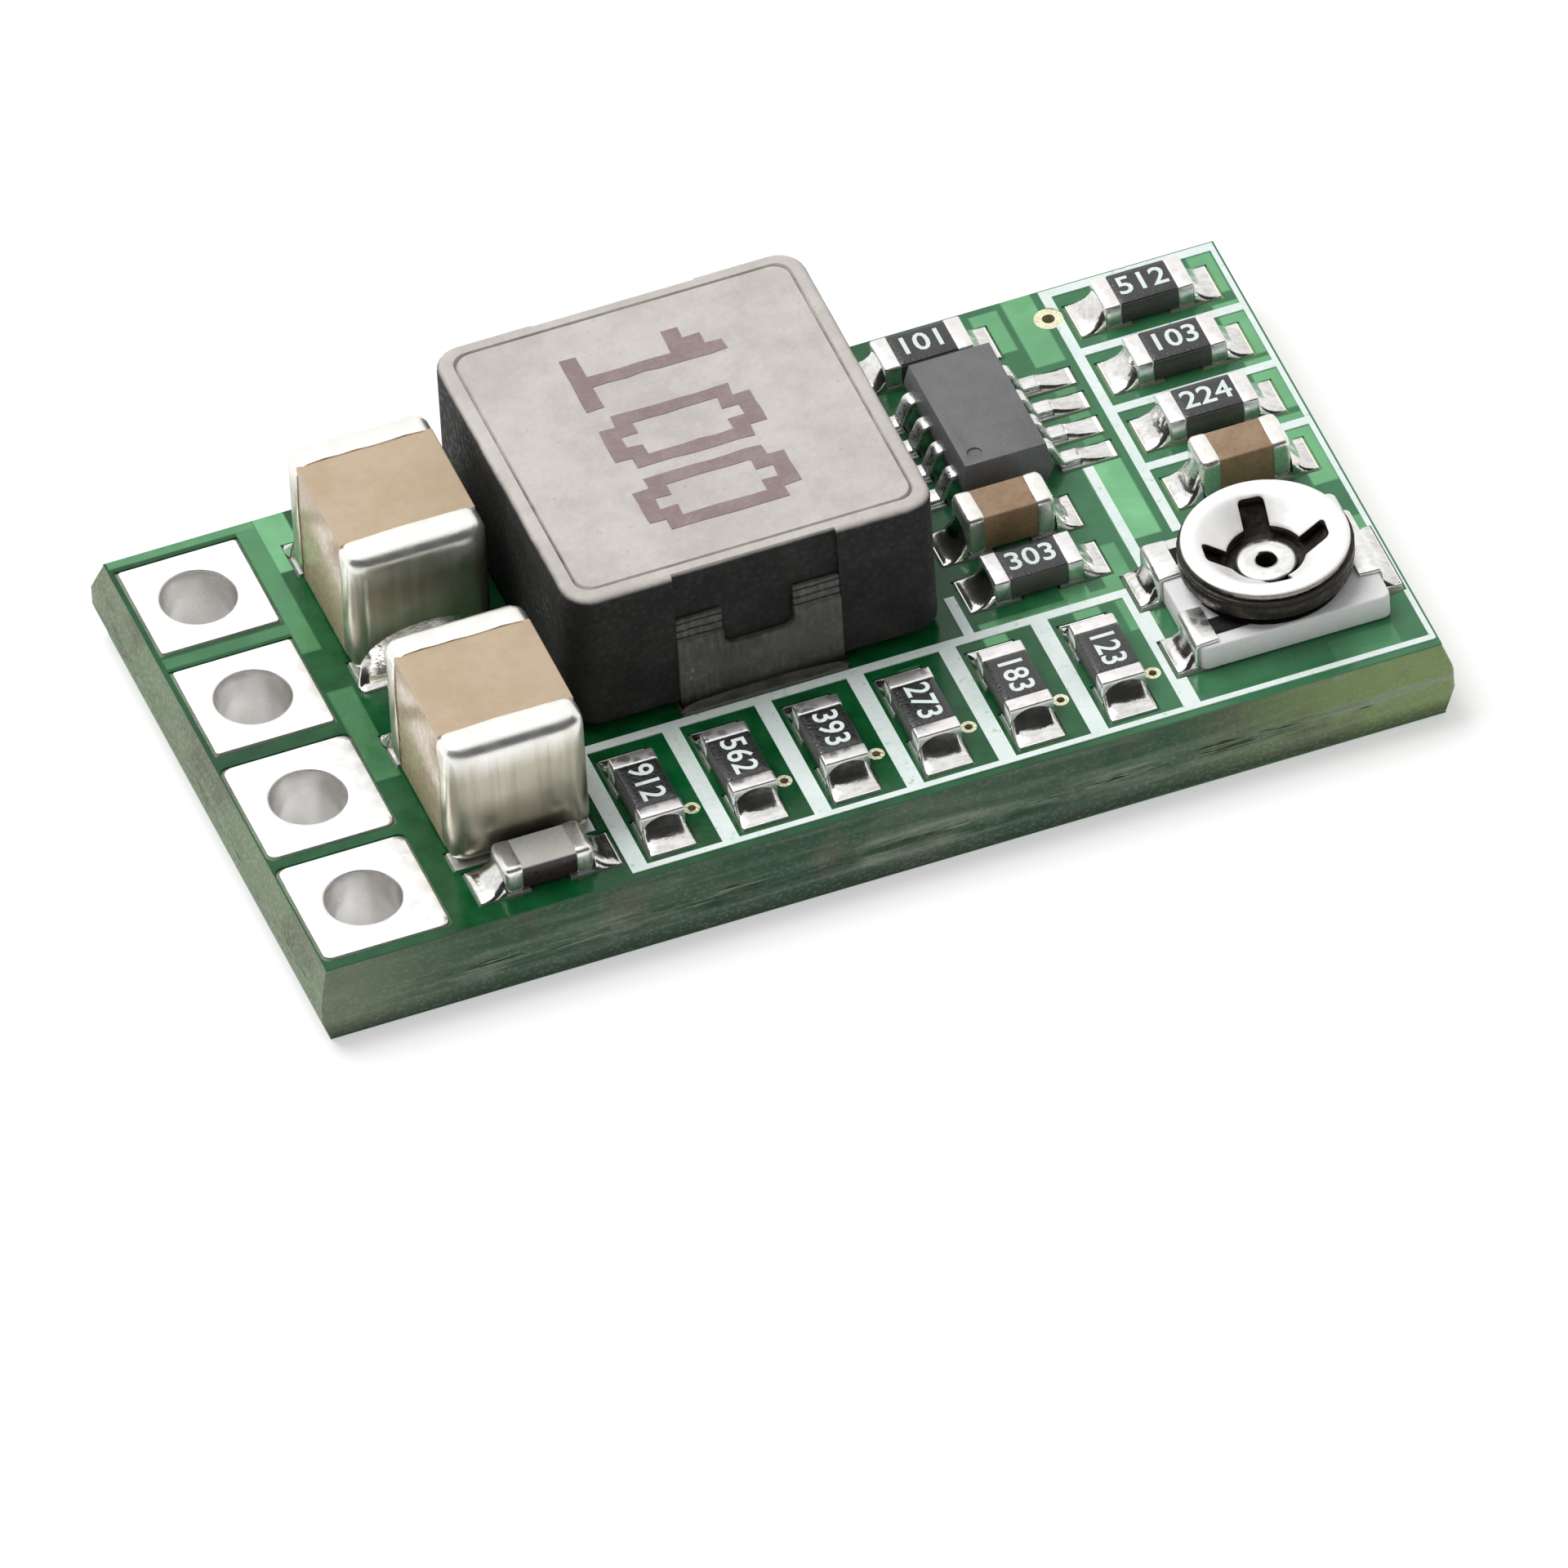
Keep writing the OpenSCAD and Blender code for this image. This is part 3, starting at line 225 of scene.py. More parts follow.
class Effects:
    """The shader groups that several finishes share, each built once."""

    def __init__(self) -> None:
        """Builds every group."""
        self.mottle = self._mottle()
        self.grain = self._grain()
        self.patch = self._patch()
        self.weave = self._weave()
        self.smear = self._smear()

    def _mottle(self) -> bpy.types.NodeTree:
        """Two sizes of soft colour change between a base and a shade."""
        g, given, out = shader_group(
            "mottle",
            [
                ("Vector", "Vector", None), ("Scale", "Float", 2.0), ("Base", "Color", None),
                ("Shade", "Color", None), ("Amount", "Float", 0.5),
            ],
            [("Color", "Color"), ("Mask", "Float")],
        )
        broad = g.noise(given.outputs["Vector"], given.outputs["Scale"], 3.0)
        fine = g.noise(
            given.outputs["Vector"], g.math("MULTIPLY", given.outputs["Scale"], 7.0), 2.0
        )
        mask = g.span(
            g.math("ADD", g.math("MULTIPLY", broad, 0.65), g.math("MULTIPLY", fine, 0.35)), 0.36,
            0.66,
        )
        mask = g.math("MULTIPLY", mask, given.outputs["Amount"])
        g.feed(out.inputs["Mask"], mask)
        g.feed(out.inputs["Color"], g.mix(mask, given.outputs["Base"], given.outputs["Shade"]))
        return g.tree

    def _grain(self) -> bpy.types.NodeTree:
        """Fine bumps of pressed powder, sprayed tin or cast ceramic."""
        g, given, out = shader_group(
            "grain",
            [("Vector", "Vector", None), ("Scale", "Float", 20.0), ("Pits", "Float", 0.5)],
            [("Height", "Float"), ("Mask", "Float")],
        )
        soft = g.noise(given.outputs["Vector"], given.outputs["Scale"], 4.0, 0.6)
        spots = g.span(g.cells(given.outputs["Vector"], given.outputs["Scale"]), 0.15, 0.6)
        mixed = g.math("MULTIPLY_ADD", given.outputs["Pits"], g.math("SUBTRACT", spots, soft), soft)
        g.feed(out.inputs["Height"], mixed)
        g.feed(out.inputs["Mask"], g.span(mixed, 0.3, 0.7))
        return g.tree

    def _patch(self) -> bpy.types.NodeTree:
        """A soft-edged rectangle in the board's plane, for copper that shows under the mask."""
        g, given, out = shader_group(
            "patch",
            [
                ("Vector", "Vector", None), ("Centre", "Vector", None), ("Half", "Vector", None),
                ("Soft", "Float", 0.05),
            ],
            [("Mask", "Float")],
        )
        away = g.vectors("SUBTRACT", given.outputs["Vector"], given.outputs["Centre"])
        past = g.vectors("SUBTRACT", g.vectors("ABSOLUTE", away), given.outputs["Half"])
        parts = g.axes(past)
        worst = g.math("MAXIMUM", parts[0], parts[1])
        g.feed(out.inputs["Mask"], g.span(worst, 0.0, given.outputs["Soft"], 1.0, 0.0))
        return g.tree

    def _weave(self) -> bpy.types.NodeTree:
        """Plain glass cloth: threads over and under each other along X and Y."""
        g, given, out = shader_group(
            "weave",
            [("Vector", "Vector", None), ("Pitch", "Float", 0.45)],
            [("Mask", "Float"), ("Height", "Float")],
        )
        parts = g.axes(given.outputs["Vector"])
        turn = g.math("DIVIDE", math.pi, given.outputs["Pitch"])
        across = g.math("SINE", g.math("MULTIPLY", parts[0], turn))
        along = g.math("SINE", g.math("MULTIPLY", parts[1], turn))
        mixed = g.math("MULTIPLY", across, along)
        g.feed(out.inputs["Mask"], g.span(mixed, -0.6, 0.6))
        g.feed(out.inputs["Height"], g.math("MULTIPLY_ADD", mixed, 0.5, 0.5))
        return g.tree

    def _smear(self) -> bpy.types.NodeTree:
        """Thin streaks along one axis, for rolled strip, dried flux and layered glass."""
        g, given, out = shader_group(
            "smear",
            [
                ("Vector", "Vector", None), ("Scale", "Float", 4.0),
                ("Stretch", "Vector", (1.0, 8.0, 8.0)),
            ],
            [("Mask", "Float"), ("Height", "Float")],
        )
        pulled = g.vectors("MULTIPLY", given.outputs["Vector"], given.outputs["Stretch"])
        lines = g.noise(pulled, given.outputs["Scale"], 5.0, 0.65)
        g.feed(out.inputs["Height"], lines)
        g.feed(out.inputs["Mask"], g.span(lines, 0.42, 0.66))
        return g.tree


EFFECTS = Effects()


# ---- Finishes ----


def plain_material(name: str) -> tuple[bpy.types.Material, Graph, bpy.types.Node]:
    """Makes a material of one shader and its output.

    Args:
        name: The material's name.

    Returns:
        The material, its graph and its shader node.
    """
    made = bpy.data.materials.new(name)
    made.use_nodes = True
    g = Graph(made.node_tree)
    shader = g.node("ShaderNodeBsdfPrincipled")
    out = g.node("ShaderNodeOutputMaterial")
    g.feed(out.inputs["Surface"], shader.outputs[0])
    return made, g, shader


@dataclass(frozen=True)
class Finish:
    """A surface with soft colour change, fine grain and a little unevenness in its gloss."""

    name: str
    base: Colour
    shade: Colour
    rough: float = 0.5
    rough_change: float = 0.12
    metal: float = 0.0
    coat: float = 0.0
    specular: float = 0.5
    ior: float = 1.5
    mottle: float = 1.5
    mottled: float = 0.6
    grain: float = 18.0
    depth: float = 0.01
    pits: float = 0.3

    def begin(self) -> tuple[bpy.types.Material, Graph, bpy.types.Node]:
        """Makes the material with its plain numbers set.

        Returns:
            The material, its graph and its shader node.
        """
        made, g, shader = plain_material(self.name)
        shader.inputs["Metallic"].default_value = self.metal
        shader.inputs["Coat Weight"].default_value = self.coat
        shader.inputs["Coat Roughness"].default_value = 0.12
        shader.inputs["Specular IOR Level"].default_value = self.specular
        shader.inputs["IOR"].default_value = self.ior
        return made, g, shader

    def colour(self, g: Graph, where: Socket) -> Socket:
        """Returns the colour before any special pattern of a subclass."""
        mottled = g.group(
            EFFECTS.mottle, Vector=where, Scale=self.mottle, Base=self.base, Shade=self.shade,
            Amount=self.mottled,
        )
        return mottled.outputs["Color"]

    def relief(self, g: Graph, where: Socket) -> tuple[Socket, Socket]:
        """Returns the height of the grain and its mask."""
        grains = g.group(EFFECTS.grain, Vector=where, Scale=self.grain, Pits=self.pits)
        return grains.outputs["Height"], grains.outputs["Mask"]

    def build(self) -> bpy.types.Material:
        """Makes the material.

        Returns:
            The finished material.
        """
        made, g, shader = self.begin()
        where = g.millimetres()
        height, mask = self.relief(g, where)
        bump = g.node("ShaderNodeBump")
        bump.inputs["Distance"].default_value = self.depth * MM
        g.feed(bump.inputs["Height"], height)
        g.feed(shader.inputs["Normal"], bump.outputs[0])
        low, high = self.rough - self.rough_change, self.rough + self.rough_change
        g.feed(shader.inputs["Roughness"], g.span(mask, 0.0, 1.0, max(low, 0.02), min(high, 1.0)))
        g.feed(shader.inputs["Base Color"], self.colour(g, where))
        return made


@dataclass(frozen=True)
class LaminateFinish(Finish):
    """Glass cloth in green resin: scored slopes with fine layers and a torn ridge between them."""

    glass: Colour = (0.34, 0.40, 0.30)
    mid_z: float = 0.81
    web: float = 0.24
    end_tint: Colour = (0.31, 0.43, 0.16)
    end_x: float = 4.5
    left_tint: Colour = (0.25, 0.31, 0.20)
    left_x: float = -8.0
    resin: Colour = (0.13, 0.12, 0.09)

    def colour(self, g: Graph, where: Socket) -> Socket:
        """Adds the layers and the pale broken glass of the snapped ridge."""
        plain = super().colour(g, where)
        parts = g.axes(where)
        olive = g.span(parts[0], self.end_x, self.end_x + 5.0)
        plain = g.mix(g.math("MULTIPLY", olive, 0.85), plain, self.end_tint)
        grey = g.span(parts[0], self.left_x - 2.2, self.left_x + 1.5, 0.8, 0.0)
        plain = g.mix(grey, plain, self.left_tint)
        layers = g.group(EFFECTS.smear, Vector=where, Scale=0.8, Stretch=(0.6, 0.6, 9.0))
        broken = g.group(EFFECTS.smear, Vector=where, Scale=0.8, Stretch=(0.32, 0.32, 4.2))
        patches = g.span(g.noise(where, 0.3, 2.0), 0.42, 0.58)
        stain = g.span(g.noise(where, 0.75, 3.0), 0.5, 0.68, 0.0, 0.6)
        plain = g.mix(stain, plain, self.resin)
        away = g.math("ABSOLUTE", g.math("SUBTRACT", parts[2], self.mid_z))
        ridge = g.span(away, self.web * 0.7, self.web * 1.6, 1.0, 0.0)
        layered = g.mix(g.math("MULTIPLY", layers.outputs["Mask"], 0.22), plain, self.glass)
        # painted shade: the edge turns darker towards its bottom, next to the floor
        dark = g.span(parts[2], 0.15, 0.6, 0.55, 0.0)
        layered = g.mix(dark, layered, (0.008, 0.03, 0.014))
        torn = g.math(
            "MULTIPLY", g.math("MULTIPLY", ridge, broken.outputs["Mask"]),
            g.math("MULTIPLY_ADD", patches, 0.8, 0.1),
        )
        return g.mix(torn, layered, self.glass)


@dataclass(frozen=True)
class MaskFinish(Finish):
    """Glossy green lacquer: bright where copper lies under it, dark where there is none."""

    copper_tint: Colour = (0.24, 0.60, 0.30)
    # painted reflection, partly a large copper area: the paler green of the right side
    reflection_and_pour: Colour = (0.10, 0.32, 0.16)
    reflection_and_pour_x: float = 2.5
    copper: tuple[tuple[float, float, float, float, float], ...] = ()

    def copper_mask(self, g: Graph, where: Socket) -> Socket:
        """Returns how much bright copper shows through."""
        total: object = 0.0
        for x0, x1, y0, y1, strength in self.copper:
            spot = g.group(
                EFFECTS.patch, Vector=where, Centre=((x0 + x1) / 2, (y0 + y1) / 2, 0.0),
                Half=((x1 - x0) / 2, (y1 - y0) / 2, 99.0), Soft=0.05,
            ).outputs["Mask"]
            total = g.math("MAXIMUM", total, g.math("MULTIPLY", spot, strength))
        clouds = g.span(g.noise(where, 0.9, 3.0), 0.35, 0.65, 0.72, 1.0)
        return g.math("MULTIPLY", total, clouds)

    def colour(self, g: Graph, where: Socket) -> Socket:
        """Adds a paler right side, partly painted reflection and partly a large copper area under
        the lacquer, then the copper and the faint cloth under the bare places.
        """
        plain = super().colour(g, where)
        parts = g.axes(where)
        # painted reflection, partly a large copper area: the lacquer turns paler towards the right
        reflection_and_pour_mask = g.span(parts[0], self.reflection_and_pour_x, self.reflection_and_pour_x + 3.5, 0.0, 0.4)
        plain = g.mix(reflection_and_pour_mask, plain, self.reflection_and_pour)
        woven = g.group(EFFECTS.weave, Vector=where, Pitch=0.45)
        shown = g.mix(g.math("MULTIPLY", woven.outputs["Mask"], 0.025), plain, self.copper_tint)
        return g.mix(self.copper_mask(g, where), shown, self.copper_tint)

    def build(self) -> bpy.types.Material:
        """Makes the material, with the copper's metal under the lacquer."""
        made = super().build()
        g = Graph(made.node_tree, keep=True)
        shader = next(n for n in made.node_tree.nodes if n.type == "BSDF_PRINCIPLED")
        g.feed(
            shader.inputs["Metallic"], g.math("MULTIPLY", self.copper_mask(g, g.millimetres()), 0.8)
        )
        return made


@dataclass(frozen=True)
class MouldedFinish(Finish):
    """Pressed iron powder, speckled on top: a painted highlight makes the top pale, and the sides
    are dark and matt, darker still as painted shade.
    """

    side: Colour = (0.045, 0.044, 0.042)
    top_low: float = 4.36
    top_high: float = 4.56

    def colour(self, g: Graph, where: Socket) -> Socket:
        """Fades from the painted shade of the dark sides to the painted highlight of the pale top
        over the rounded edge.
        """
        pale = super().colour(g, where)
        dots = g.span(g.cells(where, 6.0, output="Distance"), 0.06, 0.26, 1.0, 0.0)
        sparse = g.span(g.noise(where, 2.0, 3.0), 0.48, 0.66)
        pale = g.mix(
            g.math("MULTIPLY", dots, g.math("MULTIPLY_ADD", sparse, 0.45, 0.12)), pale, self.shade
        )
        parts = g.axes(where)
        patchy = g.noise(where, 1.2, 4.0)
        lift = g.math("MULTIPLY_ADD", patchy, 0.1, parts[2])
        # painted highlight: above this height the top turns pale, and below it the sides keep their
        # painted shade
        painted_glare_top = g.span(lift, self.top_low, self.top_high)
        mottled = g.group(
            EFFECTS.mottle, Vector=where, Scale=1.1, Base=self.side,
            Shade=tuple(2.4 * c for c in self.side), Amount=0.8,
        )
        return g.mix(painted_glare_top, mottled.outputs["Color"], pale)


@dataclass(frozen=True)
class PaintedGlareTopFinish(Finish):
    """A small chip: a dark glassy block whose top is pale, a painted highlight."""

    side: Colour = (0.035, 0.022, 0.026)
    top_z: float = 2.08

    def colour(self, g: Graph, where: Socket) -> Socket:
        """Keeps the pale colour, a painted highlight, on top and the dark one down the sides."""
        pale = super().colour(g, where)
        parts = g.axes(where)
        # painted highlight: the top above top_z is pale
        return g.mix(g.span(parts[2], self.top_z, self.top_z + 0.04), self.side, pale)


@dataclass(frozen=True)
class InkFinish(Finish):
    """Screen-printed ink with thin spots where the lacquer shows through."""

    under: Colour = (0.05, 0.3, 0.12)

    def colour(self, g: Graph, where: Socket) -> Socket:
        """Lets the lacquer show through in small worn spots."""
        plain = super().colour(g, where)
        thin = g.span(g.noise(where, 6.0, 4.0, 0.7), 0.60, 0.72)
        return g.mix(g.math("MULTIPLY", thin, 0.55), plain, self.under)


@dataclass(frozen=True)
class PlatedFinish(Finish):
    """Tin or solder with soft streaks of darker flux."""

    streak: tuple[float, float, float] = (1.0, 5.0, 5.0)
    stain: Colour = (0.30, 0.26, 0.20)
    stained: float = 0.25

    def colour(self, g: Graph, where: Socket) -> Socket:
        """Adds streaks and stains to the plain metal."""
        plain = super().colour(g, where)
        lines = g.group(EFFECTS.smear, Vector=where, Scale=2.4, Stretch=self.streak)
        return g.mix(g.math("MULTIPLY", lines.outputs["Mask"], self.stained), plain, self.stain)


@dataclass(frozen=True)
class CapFinish(PlatedFinish):
    """A dipped end cap: bright on top; down its sides painted shade makes it darker, more towards
    its foot, with streaks of flux.
    """

    side_shade_and_flux: Colour = (0.50, 0.47, 0.38)
    top_z: float = 4.0

    def colour(self, g: Graph, where: Socket) -> Socket:
        """Paints shade on the cap below its rounded shoulder, more so towards its foot, and adds
        streaks of flux.
        """
        plain = super().colour(g, where)
        parts = g.axes(where)
        runs = g.noise(g.vectors("MULTIPLY", where, (2.6, 2.6, 0.12)), 1.0, 4.0, 0.7)
        fine = g.group(
            EFFECTS.smear, Vector=where, Scale=2.2, Stretch=(2.4, 2.4, 0.12),
        ).outputs["Mask"]
        # painted shade: below the rounded shoulder the cap takes the darker side colour
        low = g.span(
            g.math("MULTIPLY_ADD", runs, 0.5, parts[2]), self.top_z - 0.35, self.top_z + 0.35, 1.0,
            0.0,
        )
        # painted shade: darker still towards the foot
        dark = g.span(parts[2], 1.7, 3.4, 0.6, 0.0)
        side_shade_and_flux = g.mix(g.math("MULTIPLY", dark, runs), self.side_shade_and_flux, (0.20, 0.19, 0.13))
        side_shade_and_flux = g.mix(g.math("MULTIPLY", fine, 0.3), side_shade_and_flux, (0.24, 0.22, 0.16))
        return g.mix(low, plain, side_shade_and_flux)


@dataclass(frozen=True)
class TerminalFinish(PlatedFinish):
    """A matt dipped strip: dark fold lines near its top, painted as the shade of the bends, a paler
    band near its foot, and painted shade at its foot.
    """

    folds: tuple[float, ...] = (3.17, 3.33, 3.5)
    foot_z: float = 2.2

    def colour(self, g: Graph, where: Socket) -> Socket:
        """Adds the fold lines and the dark foot, both painted shade, and the pale band."""
        plain = super().colour(g, where)
        parts = g.axes(where)
        waves = g.math(
            "MULTIPLY_ADD", g.noise(where, 0.9, 3.0), 0.1, g.math("SUBTRACT", parts[2], 0.05)
        )
        # painted shade: a dark line at each fold
        for z in self.folds:
            line = g.span(g.math("ABSOLUTE", g.math("SUBTRACT", waves, z)), 0.012, 0.035, 0.85, 0.0)
            plain = g.mix(line, plain, (0.006, 0.006, 0.006))
        band = g.math(
            "MULTIPLY", g.span(waves, self.foot_z - 0.2, self.foot_z + 0.1),
            g.span(waves, self.foot_z + 0.15, self.foot_z + 0.6, 0.5, 0.0),
        )
        plain = g.mix(band, plain, (0.15, 0.15, 0.14))
        # painted shade: the strip turns black near its foot
        return g.mix(g.span(waves, 1.72, 1.98, 0.9, 0.0), plain, (0.004, 0.004, 0.004))


@dataclass(frozen=True)
class BarrelFinish(Finish):
    """The plated wall of a hole with painted reflection: dark upright bands and a bright one, as a
    bent mirror shows, and painted shade deeper down.
    """

    def colour(self, g: Graph, where: Socket) -> Socket:
        """Paints the reflection as soft upright bands, and paints shade that darkens the wall with
        depth.
        """
        plain = super().colour(g, where)
        parts = g.axes(where)
        # painted reflection in the upright bands, painted shade lower in the hole
        bands = g.noise(g.vectors("MULTIPLY", where, (1.4, 1.4, 0.1)), 1.0, 1.0)
        light = g.span(bands, 0.38, 0.62)
        deep = g.span(parts[2], 0.2, 1.5, 0.0, 1.0)
        return g.mix(
            g.math("MULTIPLY", light, g.math("MULTIPLY_ADD", deep, 0.6, 0.4)), self.shade, plain
        )


@dataclass(frozen=True)
class SpringFinish(Finish):
    """A spring plate: a painted highlight along its rim, and painted shade, brown and dark, down in
    the dish.
    """

    deep: Colour = (0.035, 0.022, 0.014)
    low_z: float = 2.52
    high_z: float = 2.74

    def colour(self, g: Graph, where: Socket) -> Socket:
        """Paints shade that darkens the plate with depth, with a few brighter patches of painted
        highlight.
        """
        plain = super().colour(g, where)
        parts = g.axes(where)
        # painted highlight: a few brighter patches
        painted_glints = g.span(g.noise(where, 2.6, 4.0, 0.7), 0.56, 0.68)
        brown = g.mix(g.math("MULTIPLY", painted_glints, 0.5), self.deep, (0.10, 0.07, 0.045))
        # painted shade: brown and dark below the rim
        return g.mix(g.span(parts[2], self.low_z, self.high_z), brown, plain)


COPPER = (
    (
        5.95, 6.58, -0.92, 1.05, 1.0
    ), (
        6.12, 6.6, 3.65, 5.45, 0.75
    ), (5.5, 5.95, 4.2, 5.2, 0.6), (9.36, 9.74, 4.15, 5.3, 0.75), (9.36, 9.76, 2.5, 3.85, 0.8),
    (9.36, 9.76, 1.05, 2.35, 0.75), (9.36, 9.76, -0.9, 0.85, 0.7), (9.45, 9.8, -3.2, -1.9, 0.6), (
        -7.25, -6.75, 4.0, 5.45, 0.85
    ), (-7.6, -7.3, 2.0, 5.3, 0.4),
    (
        -9.85, -7.3, 5.22, 5.48, 0.55
    ), (
        -7.55, -7.15, -1.4, 0.9, 0.35
    ), (5.3, 5.75, -3.0, -0.9, 0.5), (4.55, 4.95, -4.0, -1.6, 0.6), (2.95, 3.3, -3.9, -2.1, 0.6),
    (
        -9.8, -7.5, 2.55, 2.75, 0.3
    ), (6.2, 6.5, 1.2, 3.4, 0.35), (8.2, 9.3, -5.1, -4.6, 0.2), (
        1.4, 1.7, -3.9, -2.4, 0.35
    ), (3.0, 5.4, -2.2, -1.9, 0.5),
)
